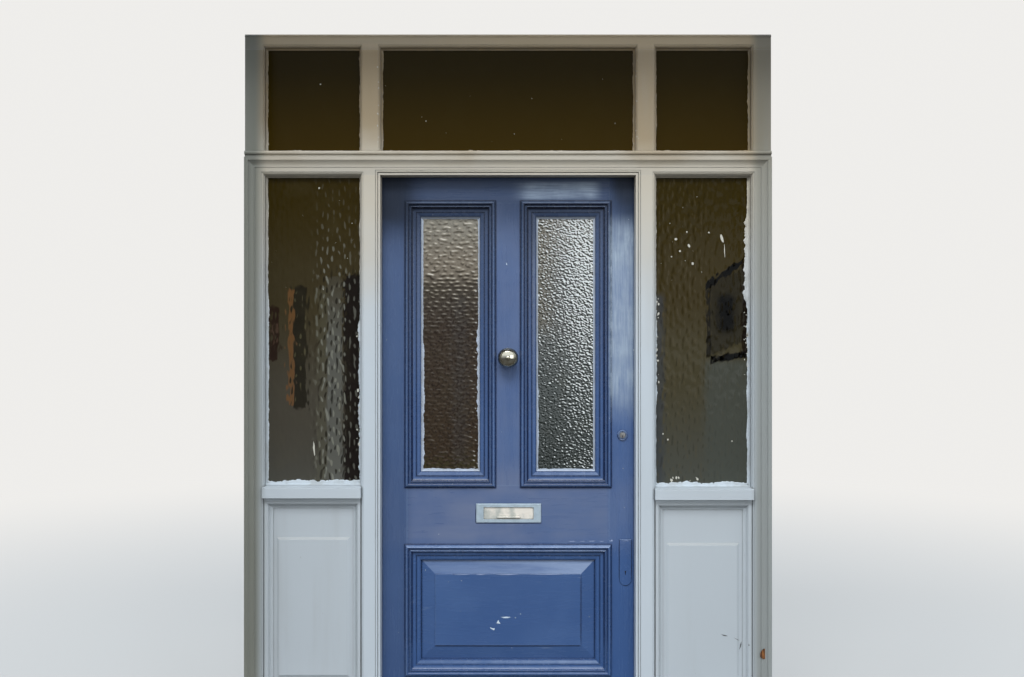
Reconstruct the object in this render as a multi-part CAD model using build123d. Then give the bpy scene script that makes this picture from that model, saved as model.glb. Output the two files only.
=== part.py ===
from build123d import *
import math
import os

# A panelled front door in its moulded frame, with a glazed light and a
# fielded panel on each side and three lights over the transom.
# Millimetres. X runs to the right seen from outside, Y runs into the house,
# Z is up. The origin is the middle of the sill's underside, in the plane of
# the frame's outer face.

# The leaf, a standard 3 ft by 6 ft 6 in door
LEAF_WIDTH = 914
LEAF_HEIGHT = 1981
LEAF_THICKNESS = 45
STILE_WIDTH = 100
MUNTIN_WIDTH = 102
TOP_RAIL_HEIGHT = 102
LOCK_RAIL_HEIGHT = 216
LOCK_RAIL_RISE = 665
BOTTOM_RAIL_HEIGHT = 215
TENON_LENGTH = 64
TENON_THICKNESS = 15
TENON_SHOULDER = 14
MORTICE_CLEARANCE = 1
MUNTIN_TENON_LENGTH = 28

# The frame
FRAME_DEPTH = 98
SILL_HEIGHT = 45
SILL_PROJECTION = 45
SILL_FLAT = 18
SILL_FALL = 8
POST_WIDTH = 69
JAMB_WIDTH = 66.5
SIDE_LIGHT_WIDTH = 334
TRANSOM_HEIGHT = 83
OVERLIGHT_HEIGHT = 363
HEAD_HEIGHT = 42
HEAD_ROLL_RADIUS = 3
STOP_LAP = 12
EDGE_GAP = 3
STOP_GAP = 0.5
STUB_TENON_LENGTH = 14
STUB_TENON_MARGIN = 15

# Glass and panel rebates of the frame
REBATE_DEPTH = 34
LIP = 10
GLASS_THICKNESS = 4
GLASS_CLEARANCE = 0.8
PUTTY_WIDTH = 12

# Small mouldings worked on the frame's edges
OVOLO_RADIUS = 9
OVOLO_FILLET = 2
SMALL_OVOLO_RADIUS = 5
DOOR_STRIP_WIDTH = 7
DOOR_STRIP_DEPTH = 3
DOOR_QUIRK_WIDTH = 2
DOOR_QUIRK_DEPTH = 7
DOOR_BEAD_RADIUS = 4

# The planted architrave and the bead that caps it
ARCHITRAVE_WIDTH = 34
ARCHITRAVE_PROUD = 13
ARCHITRAVE_RISE = 27
ARCHITRAVE_FILLET = 5
ARCHITRAVE_EDGE_PROUD = 2
ARCHITRAVE_HOLLOW = 14
ARCHITRAVE_HOLLOW_PROUD = 9
ARCHITRAVE_STEP = 2
ARCHITRAVE_ROUND = 8
CAP_PROUD = 4
CAP_BEAD_RADIUS = 7

# Bars, panels and mouldings under the side lights. The right side was set
# a little lower than the left.
SIDE_BAR_TOP = {"left": 934, "right": 928}
SIDE_BAR_NOSE_HEIGHT = 39
SIDE_BAR_HEIGHT = 51
SIDE_BAR_PROJECTION = 18
SIDE_BAR_FALL = 4
SIDE_BAR_HORN = 4
DRIP_RADIUS = 2.5
SIDE_BOTTOM_RAIL_HEIGHT = 91
SIDE_PANEL_THICKNESS = 12
SIDE_MOULDING_WIDTH = 27
SIDE_MOULDING_SETBACK = 2
SIDE_MOULDING_FLAT = 6
SIDE_MOULDING_ROUND = 8
SIDE_MOULDING_FALL = 9
SIDE_MOULDING_STEP = 2
SIDE_MOULDING_EDGE = 3
SIDE_FIELD_MARGIN = 48
SIDE_FIELD_TOP_MARGIN = {"left": 139, "right": 153}
SIDE_FIELD_BOTTOM_MARGIN = {"left": 136, "right": 115}
SIDE_FIELD_PROUD = 4.5
SIDE_FIELD_BEVEL = 9

# The bolection mouldings of the leaf, across the section from the outside in
BOLECTION_WIDTH = 58
BOLECTION_LAP = 9
BOLECTION_REACH = 16
OUTER_FILLET_WIDTH = 2
OUTER_FILLET_PROUD = 3
COVE_WIDTH = 4
OUTER_BEAD_RADIUS = 5.5
OUTER_BEAD_SPRING = 7
GROOVE_WIDTH = 4.5
GROOVE_PROUD = 4
INNER_BEAD_RADIUS = 2.2
INNER_BEAD_SPRING = 7.3
HOLLOW_WIDTH = 8
HOLLOW_SINK = 3
HOLLOW_FLAT_WIDTH = 7
INNER_QUIRK_WIDTH = 2
INNER_QUIRK_DEPTH = 2.5
SPLAY_SINK = 5
INNER_LIP_SINK = 7
INNER_LIP_WIDTH = 4
PANE_PUTTY_WIDTH = 5
PANE_PUTTY_DEPTH = 7
INSIDE_BEAD_WIDTH = 14
INSIDE_BEAD_CORNER = 5

# The raised and fielded lower panel
PANEL_TONGUE_THICKNESS = 12
PANEL_GROOVE_DEPTH = 12
PANEL_GROOVE_CLEARANCE = 1.5
PANEL_BEVEL_WIDTH = 50
PANEL_BEVEL_RISE = 9
PANEL_ARRIS = 2.5

# Butt hinges
HINGE_END_MARGIN = 100
HINGE_LENGTH = 100
HINGE_LEAF_WIDTH = 35
HINGE_LEAF_THICKNESS = 3
HINGE_PROUD = 6
KNUCKLE_RADIUS = 5.5
KNUCKLE_GAP = 0.3
KNUCKLES = 5
PIN_RADIUS = 2.5
PIN_CLEARANCE = 0.06
PIN_TIP_RADIUS = 4.5
PIN_TIP_HEIGHT = 3

# Countersunk screws
SCREW_HEAD_RADIUS = 4
SCREW_SHANK_RADIUS = 2
SCREW_LENGTH = 22
SCREW_CLEARANCE = 0.05
HINGE_SCREW_STAGGER = 5
SCREW_MARGIN = 8

# Centre knob and the through bolts
KNOB_DROP = 48
KNOB_RADIUS = 36
KNOB_PROJECTION = 58
KNOB_NECK_RADIUS = 13
KNOB_FOOT_RADIUS = 27
KNOB_FOOT_HEIGHT = 7
KNOB_BOSS_RADIUS = 7
KNOB_BOSS_HEIGHT = 2
KNOB_HEAD_DEPTH = 31
KNOB_NECK_FLARE = 4
KNOB_SHOULDER = 13
BOLT_RADIUS = 3
BOLT_HOLE_RADIUS = 3.4
WASHER_RADIUS = 9
WASHER_THICKNESS = 1.6
NUT_RADIUS = 5.8
NUT_HEIGHT = 5
BOLT_END = 2

# Letter plate and its flap
LETTER_PLATE_X = 2
LETTER_PLATE_RISE = 10
LETTER_PLATE_WIDTH = 230
LETTER_PLATE_HEIGHT = 68
LETTER_PLATE_THICKNESS = 4
LETTER_PLATE_EASE = 2.2
LETTER_PLATE_CORNER = 2
APERTURE_WIDTH = 177
APERTURE_HEIGHT = 43
APERTURE_CORNER = 3
FLAP_THICKNESS = 2.5
FLAP_LAP = 2
FLAP_GAP = 0.3
FLAP_BARREL_RADIUS = 3
FLAP_PIN_RADIUS = 1.5
FLAP_PIN_RISE = 3.5
FLAP_PIN_CLEARANCE = 0.05
LUG_THICKNESS = 3
LUG_GAP = 0.4
LUG_DROP = 6
SLOT_MARGIN = 2.5
LIP_WIDTH = 82
LIP_HEIGHT = 6
LIP_PROUD = 4
LIP_RISE = 4
LIP_TAPER = 1.5
LETTER_BOLT_SPACING = 210

# Night latch
LATCH_BACKSET = 53
LATCH_Z = 1107
LATCH_RING_RADIUS = 18
LATCH_RING_PROUD = 6
LATCH_RING_BEVEL = 2
LATCH_BODY_RADIUS = 14.2
LATCH_BODY_LENGTH = 36
LATCH_HOLE_RADIUS = 15.5
RING_CLEARANCE = 0.08
PLUG_RADIUS = 6.5
PLUG_CLEARANCE = 0.06
PLUG_LENGTH = 30
PLUG_DROP = 3.5
KEY_SLOT_WIDTH = 1.4
KEY_SLOT_HEIGHT = 8
KEY_SLOT_DEPTH = 20
TAIL_WIDTH = 7
TAIL_THICKNESS = 2
CASE_LENGTH = 90
CASE_HEIGHT = 66
CASE_DEPTH = 28
CASE_WALL = 3
CASE_CORNER = 5
LATCH_BOLT_LENGTH = 60
LATCH_BOLT_HEIGHT = 24
LATCH_BOLT_THICKNESS = 13
LATCH_BOLT_BEVEL = 9
LATCH_BOLT_OFFSET = 1
BOLT_GUIDE_CLEARANCE = 0.3
BOLT_SETBACK = 0.4
LATCH_KNOB_RADIUS = 15
LATCH_KNOB_LENGTH = 18
LATCH_KNOB_BEVEL = 4
LATCH_SPINDLE_RADIUS = 4
LATCH_SPINDLE_REACH = 1.5
LATCH_KNOB_BACKSET = 65
KEEP_LENGTH = 34
KEEP_BOX_LENGTH = 24
KEEP_HEIGHT = 78
KEEP_FLANGE = 3
KEEP_GAP = 3.5

# Mortice dead lock, its strike and the outside escutcheon
KEYHOLE_BACKSET = 42.5
KEYHOLE_Z = 624.5
KEYHOLE_RADIUS = 2.8
KEYHOLE_SLOT_WIDTH = 2.6
KEYHOLE_SLOT_HEIGHT = 11
LOCK_CASE_HEIGHT = 96
LOCK_CASE_DEPTH = 62
LOCK_CASE_THICKNESS = 14
LOCK_CASE_DROP = 26
DEAD_BOLT_RISE = 32
DEAD_BOLT_HEIGHT = 26
DEAD_BOLT_THICKNESS = 10
DEAD_BOLT_LENGTH = 50
DEAD_BOLT_THROW = 18
FOREND_HEIGHT = 150
FOREND_WIDTH = 20
FOREND_THICKNESS = 3
STRIKE_HEIGHT = 100
STRIKE_CLEARANCE = 1
ESCUTCHEON_WIDTH = 42
ESCUTCHEON_HEIGHT = 163
ESCUTCHEON_THICKNESS = 3
ESCUTCHEON_EASE = 1
ESCUTCHEON_DROP = 49

# How far a cutting tool runs past what it cuts
CUT = 1

# Places that follow from the sizes above
LEAF_EDGE = LEAF_WIDTH / 2
REVEAL = LEAF_EDGE + EDGE_GAP
DOOR_HALF = LEAF_EDGE - STOP_LAP
SIDE_INNER = DOOR_HALF + POST_WIDTH
SIDE_OUTER = SIDE_INNER + SIDE_LIGHT_WIDTH
FRAME_HALF = SIDE_OUTER + JAMB_WIDTH
LEAF_BACK = FRAME_DEPTH
LEAF_FACE = LEAF_BACK - LEAF_THICKNESS
LEAF_MIDDLE = (LEAF_FACE + LEAF_BACK) / 2
LEAF_BOTTOM = SILL_HEIGHT + EDGE_GAP
LEAF_TOP = LEAF_BOTTOM + LEAF_HEIGHT
DOOR_TOP = LEAF_TOP - STOP_LAP
TRANSOM_TOP = DOOR_TOP + TRANSOM_HEIGHT
LIGHT_TOP = TRANSOM_TOP + OVERLIGHT_HEIGHT
FRAME_TOP = LIGHT_TOP + HEAD_HEIGHT
GLASS_FRONT = REBATE_DEPTH - GLASS_THICKNESS
SIDE_PANEL_BOTTOM = SILL_HEIGHT + SIDE_BOTTOM_RAIL_HEIGHT
PANEL_EDGE = LEAF_EDGE - STILE_WIDTH
PANE_EDGE = MUNTIN_WIDTH / 2
LOWER_BOTTOM = LEAF_BOTTOM + BOTTOM_RAIL_HEIGHT
LOWER_TOP = LEAF_BOTTOM + LOCK_RAIL_RISE
UPPER_BOTTOM = LOWER_TOP + LOCK_RAIL_HEIGHT
UPPER_TOP = LEAF_TOP - TOP_RAIL_HEIGHT
PANE_FRONT = LEAF_FACE + BOLECTION_REACH
PANE_BACK = PANE_FRONT + GLASS_THICKNESS
PANEL_FRONT = PANE_FRONT
KEEP_X = LEAF_EDGE + KEEP_GAP
HINGE_X = -(LEAF_EDGE + REVEAL) / 2
HINGE_Y = LEAF_BACK + HINGE_PROUD
HINGE_LOW = LEAF_BOTTOM + HINGE_END_MARGIN + HINGE_LENGTH / 2
HINGE_HIGH = LEAF_TOP - HINGE_END_MARGIN - HINGE_LENGTH / 2
HINGE_HEIGHTS = [HINGE_LOW, (HINGE_LOW + HINGE_HIGH) / 2, HINGE_HIGH]
KNOB_CENTRE_Z = (UPPER_BOTTOM + UPPER_TOP) / 2 - KNOB_DROP
LETTER_PLATE_Z = (LOWER_TOP + UPPER_BOTTOM) / 2 + LETTER_PLATE_RISE
LATCH_X = LEAF_EDGE - LATCH_BACKSET
LATCH_KNOB_X = LEAF_EDGE - LATCH_KNOB_BACKSET
KEYHOLE_X = LEAF_EDGE - KEYHOLE_BACKSET
SIGN = {"left": -1, "right": 1}
FAR = 3000


def block(x, y, z):
    """A block between two opposite corners, each axis given as (low, high)."""
    size = [abs(high - low) for low, high in (x, y, z)]
    middle = [(low + high) / 2 for low, high in (x, y, z)]
    return Pos(*middle) * Box(*size)


def span(side, inner, outer):
    """The X stretch between two distances from the middle, on one side."""
    return tuple(sorted((SIGN[side] * inner, SIGN[side] * outer)))


def outline(*pieces):
    """A flat face inside a closed line made of straight and curved pieces."""
    line = pieces[0]
    for piece in pieces[1:]:
        line = line + piece
    return make_face(line)


def cylinder_y(x, z, y, radius):
    """A round bar along Y, between two depths."""
    place = Plane(origin=(x, y[0], z), x_dir=(1, 0, 0), z_dir=(0, 1, 0))
    return extrude(place * Circle(radius), y[1] - y[0])


def bar_along_x(section, x):
    """A section drawn as (depth, height), run along X between two places."""
    place = Plane(origin=(x[0], 0, 0), x_dir=(0, 1, 0), z_dir=(1, 0, 0))
    return extrude(place * section, x[1] - x[0])


def turned_y(section, x, z, y):
    """A section drawn as (radius, distance along +Y), turned about an axis along Y."""
    return revolve(Plane(origin=(x, y, z)) * section, Axis((x, y, z), (0, 1, 0)))


def ring_sides(section, x, z, y=0):
    """Four lengths of a section round an upright rectangle: bottom, right, top and left.

    The section is drawn as (distance outward from the rectangle, depth behind y),
    and each length is cut to a mitre at both ends.
    """
    out = section.bounding_box().max.X + 1
    deep = 1 - section.bounding_box().min.X
    half_x, half_z = (x[1] - x[0]) / 2, (z[1] - z[0]) / 2
    sides = []
    for index, (along, away) in enumerate([(half_x, half_z), (half_z, half_x)] * 2):
        start = Plane(origin=(-along - out, 0, -away), x_dir=(0, 0, -1), z_dir=(1, 0, 0))
        run = extrude(start * section, 2 * (along + out))
        run &= upright_prism([
            (-along - out, -away - out), (along + out, -away - out),
            (along - deep, deep - away), (deep - along, deep - away),
        ])
        sides.append(Pos(sum(x) / 2, y, sum(z) / 2) * Rot(0, -90 * index, 0) * run)
    return sides


def upright_prism(corners):
    """A prism along Y over corners given as (x, z)."""
    place = Plane(origin=(0, -FAR, 0), x_dir=(1, 0, 0), z_dir=(0, -1, 0))
    return extrude(place * make_face(Polyline(*corners, close=True)), -2 * FAR)


def mitred_ring(section, x, z, y=0):
    """A section run round an upright rectangle, mitred at its corners."""
    sides = ring_sides(section, x, z, y)
    return sides[0] + sides[1:]


def mitred_arch(section, x, z):
    """The same up one side, across the top and down the other side."""
    sides = ring_sides(section, x, z)
    return sides[1] + sides[2:]


def tapered(base, top, y_base, y_top):
    """A block with bevelled sides between two upright rectangles, each (x, z)."""
    faces = []
    for (x, z), y in ((base, y_base), (top, y_top)):
        place = Plane(origin=(sum(x) / 2, y, sum(z) / 2), x_dir=(1, 0, 0), z_dir=(0, -1, 0))
        faces.append(place * Rectangle(x[1] - x[0], z[1] - z[0]))
    return loft(faces, ruled=True)


def inset(x, margin):
    """A stretch drawn in by a margin at both ends."""
    return (x[0] + margin, x[1] - margin)


# Voids and edge mouldings of the frame

def ovolo_cutter(radius):
    """What is cut from a square edge to leave a fillet, a quarter round and a fillet."""
    reach = radius + OVOLO_FILLET
    middle = reach - radius / math.sqrt(2)
    return outline(
        Line((0, 0), (reach, 0)),
        Line((reach, 0), (reach, OVOLO_FILLET)),
        ThreePointArc((reach, OVOLO_FILLET), (middle, middle), (OVOLO_FILLET, reach)),
        Line((OVOLO_FILLET, reach), (0, reach)),
        Line((0, reach), (0, 0)),
    )


def door_edge_cutter():
    """What is cut round the doorway to leave a sunk strip, a quirk and a staff bead."""
    quirk = DOOR_STRIP_WIDTH + DOOR_QUIRK_WIDTH
    far = quirk + 2 * DOOR_BEAD_RADIUS
    return outline(
        Line((0, 0), (0, DOOR_STRIP_DEPTH)),
        Line((0, DOOR_STRIP_DEPTH), (DOOR_STRIP_WIDTH, DOOR_STRIP_DEPTH)),
        Line((DOOR_STRIP_WIDTH, DOOR_STRIP_DEPTH), (DOOR_STRIP_WIDTH, DOOR_QUIRK_DEPTH)),
        Line((DOOR_STRIP_WIDTH, DOOR_QUIRK_DEPTH), (quirk, DOOR_QUIRK_DEPTH)),
        Line((quirk, DOOR_QUIRK_DEPTH), (quirk, DOOR_BEAD_RADIUS)),
        ThreePointArc(
            (quirk, DOOR_BEAD_RADIUS), (quirk + DOOR_BEAD_RADIUS, 0), (far, DOOR_BEAD_RADIUS)
        ),
        Line((far, DOOR_BEAD_RADIUS), (far, 0)),
        Line((far, 0), (quirk + DOOR_BEAD_RADIUS, 0)),
        Line((quirk + DOOR_BEAD_RADIUS, 0), (0, 0)),
    )


def door_void():
    """The doorway between the stops, and the rebate that takes the leaf."""
    way = block((-DOOR_HALF, DOOR_HALF), (-FAR, FAR), (-FAR, DOOR_TOP))
    stop = LEAF_FACE - STOP_GAP
    return way + block((-REVEAL, REVEAL), (stop, FAR), (-FAR, LEAF_TOP + EDGE_GAP))


def door_edge():
    """The moulding cut round the doorway's front edge."""
    return mitred_arch(door_edge_cutter(), (-DOOR_HALF, DOOR_HALF), (-FAR, DOOR_TOP))


def light_void(x, z):
    """A light's opening in front of its rebate, and the smaller one behind."""
    front = block(x, (-FAR, REBATE_DEPTH), z)
    return front + block(inset(x, LIP), (REBATE_DEPTH, FAR), inset(z, LIP))


def side_void(side):
    """The whole opening beside the door, from below the sill's top to the transom."""
    return light_void(span(side, SIDE_INNER, SIDE_OUTER), (-LIP - EDGE_GAP, DOOR_TOP))


def side_edge(side):
    """The ovolo cut up the sides and across the top of the side opening."""
    return mitred_arch(
        ovolo_cutter(OVOLO_RADIUS), span(side, SIDE_INNER, SIDE_OUTER), (-FAR, DOOR_TOP)
    )


def overlight_spans():
    """The three lights over the transom, by name."""
    return {
        "left": span("left", SIDE_INNER, SIDE_OUTER),
        "centre": (-DOOR_HALF, DOOR_HALF),
        "right": span("right", SIDE_INNER, SIDE_OUTER),
    }


def overlight_void(name):
    """One light over the transom, with the small ovolo round it."""
    x = overlight_spans()[name]
    z = (TRANSOM_TOP, LIGHT_TOP)
    return light_void(x, z) + mitred_ring(ovolo_cutter(SMALL_OVOLO_RADIUS), x, z)


# Frame members

def stub(x, z):
    """A stub tenon, in the middle of the frame's depth."""
    return block(inset(x, STUB_TENON_MARGIN), (REBATE_DEPTH + LIP, FRAME_DEPTH - 3 * LIP), z)


def make_sill():
    """The sill: flat under the frame, then falling to a nose with a drip below."""
    nose = -SILL_PROJECTION
    section = make_face(Polyline(
        (FRAME_DEPTH, 0), (FRAME_DEPTH, SILL_HEIGHT), (-SILL_FLAT, SILL_HEIGHT),
        (nose, SILL_HEIGHT - SILL_FALL), (nose, 0), close=True,
    ))
    sill = bar_along_x(section, (-FRAME_HALF, FRAME_HALF))
    drip = bar_along_x(
        Pos(nose + 3 * DRIP_RADIUS, 0) * Circle(DRIP_RADIUS), (-FRAME_HALF, FRAME_HALF)
    )
    foot = (SILL_HEIGHT - STUB_TENON_LENGTH, SILL_HEIGHT)
    for side in SIGN:
        for x in (span(side, DOOR_HALF, SIDE_INNER), span(side, SIDE_OUTER, FRAME_HALF)):
            sill -= stub(x, foot)
    return sill - drip


def make_head():
    """The head over the whole frame, with a roll along its top front edge."""
    x = (-FRAME_HALF, FRAME_HALF)
    head = block(x, (0, FRAME_DEPTH), (LIGHT_TOP - LIP, FRAME_TOP))
    centre = FRAME_TOP - 2 * HEAD_ROLL_RADIUS
    roll = bar_along_x(Pos(0, centre) * Circle(HEAD_ROLL_RADIUS), x)
    head += roll
    for name in overlight_spans():
        head -= overlight_void(name)
    top = (LIGHT_TOP - LIP, LIGHT_TOP - LIP + STUB_TENON_LENGTH)
    for side in SIGN:
        for x in (span(side, DOOR_HALF, SIDE_INNER), span(side, SIDE_OUTER, FRAME_HALF)):
            head -= stub(x, top)
    return head


def crossing(side):
    """The whole stretch where a post and the transom rail meet."""
    x = span(side, DOOR_HALF - LIP, SIDE_INNER + LIP)
    return block(x, (-FAR, FAR), (DOOR_TOP - LIP, TRANSOM_TOP + LIP))


def halving(side):
    """The front half of that stretch, which the rail keeps and the post gives up."""
    x = span(side, DOOR_HALF - LIP, SIDE_INNER + LIP)
    return block(x, (-FAR, FRAME_DEPTH / 2), (DOOR_TOP, TRANSOM_TOP))


def make_transom():
    """The rail over the door, between the jambs, halved in front of the posts."""
    reach = SIDE_OUTER - LIP
    rail = block((-reach, reach), (0, FRAME_DEPTH), (DOOR_TOP - LIP, TRANSOM_TOP + LIP))
    rail -= door_void() + door_edge()
    for side in SIGN:
        rail -= side_void(side) + side_edge(side)
        rail -= crossing(side) - halving(side)
    for name in overlight_spans():
        rail -= overlight_void(name)
    return rail


def upright(x, tenon):
    """A post or jamb on the sill and under the head, with a stub tenon at each end."""
    foot = SILL_HEIGHT - STUB_TENON_LENGTH
    top = LIGHT_TOP - LIP
    member = block(x, (0, FRAME_DEPTH), (SILL_HEIGHT, top))
    return member + stub(tenon, (foot, top + STUB_TENON_LENGTH))


def make_post(side):
    """A post between the door and a side light, halved behind the transom rail."""
    post = upright(
        span(side, DOOR_HALF - LIP, SIDE_INNER + LIP), span(side, DOOR_HALF, SIDE_INNER)
    )
    post -= door_void() + door_edge() + side_void(side) + side_edge(side)
    for name in ("centre", side):
        post -= overlight_void(name)
    post -= halving(side)
    if side == "left":
        return post - hinge_pockets(frame_side=True) - screw_tools(frame_screw_places())
    return post - strike_pocket() - screw_tools(keep_screw_places() + strike_screw_places())


def make_jamb(side):
    """An outer jamb, beside a side light and an overlight."""
    jamb = upright(
        span(side, SIDE_OUTER - LIP, FRAME_HALF), span(side, SIDE_OUTER, FRAME_HALF)
    )
    return jamb - side_void(side) - side_edge(side) - overlight_void(side)


def architrave_section():
    """Fillet, hollow, step, round and flat, drawn outward from the inner edge."""
    edge = -ARCHITRAVE_EDGE_PROUD
    hollow = ARCHITRAVE_FILLET + ARCHITRAVE_HOLLOW
    deep = -ARCHITRAVE_HOLLOW_PROUD
    step = deep + ARCHITRAVE_STEP
    rounded = hollow + ARCHITRAVE_ROUND
    front = -ARCHITRAVE_PROUD
    return outline(
        Polyline((0, 0), (0, edge), (ARCHITRAVE_FILLET, edge)),
        TangentArc((ARCHITRAVE_FILLET, edge), (hollow, deep), tangent=(1, -0.2)),
        Line((hollow, deep), (hollow, step)),
        TangentArc((hollow, step), (rounded, front), tangent=(0.1, -1)),
        Polyline(
            (rounded, front), (ARCHITRAVE_WIDTH, front), (ARCHITRAVE_WIDTH, 0), (0, 0)
        ),
    )


def make_architrave():
    """Three mitred lengths up the jambs and over the transom, and the bead on top."""
    x = FRAME_HALF - ARCHITRAVE_WIDTH
    z = DOOR_TOP + ARCHITRAVE_RISE
    _, right, over, left = ring_sides(architrave_section(), (-x, x), (-FAR, z))
    above_sill = block((-FAR, FAR), (-FAR, FAR), (SILL_HEIGHT, FAR))
    bottom = z + ARCHITRAVE_WIDTH
    run = (-FRAME_HALF, FRAME_HALF)
    cap = block(run, (-CAP_PROUD, 0), (bottom, TRANSOM_TOP))
    centre = TRANSOM_TOP - CAP_BEAD_RADIUS
    bead = bar_along_x(Pos(-CAP_PROUD, centre) * Circle(CAP_BEAD_RADIUS), run)
    cap += bead & block(run, (-FAR, 0), (bottom, TRANSOM_TOP))
    return {
        "architrave_left": left & above_sill,
        "architrave_right": right & above_sill,
        "architrave_head": over + cap,
    }


def side_bay(side):
    """The X stretch of the opening beside the door."""
    return span(side, SIDE_INNER, SIDE_OUTER)


def side_panel_top(side):
    """The underside of the bar that carries the side light."""
    return SIDE_BAR_TOP[side] - SIDE_BAR_HEIGHT


def make_side_bar(side):
    """The bar under a side light, with a weathered nose and a drip."""
    top = SIDE_BAR_TOP[side]
    flat = GLASS_FRONT - PUTTY_WIDTH
    low = side_panel_top(side)
    nose_bottom = top - SIDE_BAR_NOSE_HEIGHT
    body = make_face(Polyline(
        (FRAME_DEPTH, low - LIP), (FRAME_DEPTH, top + LIP), (REBATE_DEPTH, top + LIP),
        (REBATE_DEPTH, top), (flat, top), (0, top - SIDE_BAR_FALL / 2), (0, low),
        (REBATE_DEPTH, low), (REBATE_DEPTH, low - LIP), close=True,
    ))
    nose = make_face(Polyline(
        (0, top - SIDE_BAR_FALL / 2), (-SIDE_BAR_PROJECTION, top - SIDE_BAR_FALL),
        (-SIDE_BAR_PROJECTION, nose_bottom), (0, nose_bottom), close=True,
    ))
    bay = side_bay(side)
    drip = Pos(-SIDE_BAR_PROJECTION + 2 * DRIP_RADIUS, nose_bottom) * Circle(DRIP_RADIUS)
    horned = bar_along_x(nose - drip, inset(bay, -SIDE_BAR_HORN))
    return (bar_along_x(body, bay) & side_void(side)) + horned


def make_side_bottom_rail(side):
    """The plain rail under a side panel, with a lip behind the panel."""
    top = SIDE_PANEL_BOTTOM
    section = make_face(Polyline(
        (0, SILL_HEIGHT), (FRAME_DEPTH, SILL_HEIGHT), (FRAME_DEPTH, top + LIP),
        (REBATE_DEPTH, top + LIP), (REBATE_DEPTH, top), (0, top), close=True,
    ))
    return bar_along_x(section, side_bay(side)) & side_void(side)


def make_side_panel(side):
    """A flat infill panel with a low raised field, bevelled all round."""
    bay = side_bay(side)
    z = (SIDE_PANEL_BOTTOM, side_panel_top(side))
    front = REBATE_DEPTH - SIDE_PANEL_THICKNESS
    panel = block(bay, (front, REBATE_DEPTH), z)
    field_x = inset(bay, SIDE_FIELD_MARGIN)
    field_z = (z[0] + SIDE_FIELD_BOTTOM_MARGIN[side], z[1] - SIDE_FIELD_TOP_MARGIN[side])
    foot = (inset(field_x, -SIDE_FIELD_BEVEL), inset(field_z, -SIDE_FIELD_BEVEL))
    return panel + tapered(foot, (field_x, field_z), front, front - SIDE_FIELD_PROUD)


def side_moulding_section():
    """A round over a hollow, planted in the corner between the panel and the frame."""
    back = REBATE_DEPTH - SIDE_PANEL_THICKNESS
    front = SIDE_MOULDING_SETBACK
    start = -SIDE_MOULDING_FLAT
    step = start - SIDE_MOULDING_ROUND
    fall = front + SIDE_MOULDING_FALL
    hollow = step - SIDE_MOULDING_STEP
    edge = back - SIDE_MOULDING_EDGE
    return outline(
        Polyline((0, back), (0, front), (start, front)),
        TangentArc((start, front), (step, fall), tangent=(-1, 0.1)),
        Line((step, fall), (hollow, fall)),
        TangentArc((hollow, fall), (-SIDE_MOULDING_WIDTH, edge), tangent=(-0.2, 1)),
        Polyline((-SIDE_MOULDING_WIDTH, edge), (-SIDE_MOULDING_WIDTH, back), (0, back)),
    )


def make_side_moulding(side):
    """The moulding planted round a side panel."""
    z = (SIDE_PANEL_BOTTOM, side_panel_top(side))
    return mitred_ring(side_moulding_section(), side_bay(side), z)


def make_glass(x, z):
    """A pane lying against the frame's lip, a little smaller than its opening."""
    return block(
        inset(x, GLASS_CLEARANCE), (GLASS_FRONT, REBATE_DEPTH), inset(z, GLASS_CLEARANCE)
    )


def putty_section():
    """A run of putty, sloped from the rebate's edge down to the glass."""
    return make_face(Polyline(
        (0, GLASS_FRONT), (-PUTTY_WIDTH, GLASS_FRONT), (0, GLASS_FRONT - PUTTY_WIDTH), close=True
    ))


def frame_panes():
    """Every fixed pane of the frame with its opening, by name."""
    panes = {}
    for side in SIGN:
        panes["sidelight_glass_" + side] = (side_bay(side), (SIDE_BAR_TOP[side], DOOR_TOP))
    for name, x in overlight_spans().items():
        panes["overlight_glass_" + name] = (x, (TRANSOM_TOP, LIGHT_TOP))
    return panes


def make_frame_putty():
    """The putty round each fixed pane."""
    return [mitred_ring(putty_section(), x, z) for x, z in frame_panes().values()]


# The leaf

def leaf_block(x, z):
    """A block through the leaf's thickness."""
    return block(x, (LEAF_FACE, LEAF_BACK), z)


def tenon(x, z, clearance=0):
    """A tenon or its mortice in the middle of the leaf's thickness."""
    half = TENON_THICKNESS / 2
    return block(inset(x, -clearance), (LEAF_MIDDLE - half, LEAF_MIDDLE + half), z)


def rail_heights():
    """Bottom and top of each rail, by name."""
    return {
        "bottom_rail": (LEAF_BOTTOM, LOWER_BOTTOM),
        "lock_rail": (LOWER_TOP, UPPER_BOTTOM),
        "top_rail": (UPPER_TOP, LEAF_TOP),
    }


def panel_groove():
    """The groove round the lower panel's opening."""
    half = PANEL_TONGUE_THICKNESS / 2
    middle = PANEL_FRONT + half
    return block(
        (-PANEL_EDGE - PANEL_GROOVE_DEPTH, PANEL_EDGE + PANEL_GROOVE_DEPTH),
        (middle - half, middle + half),
        (LOWER_BOTTOM - PANEL_GROOVE_DEPTH, LOWER_TOP + PANEL_GROOVE_DEPTH),
    )


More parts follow.
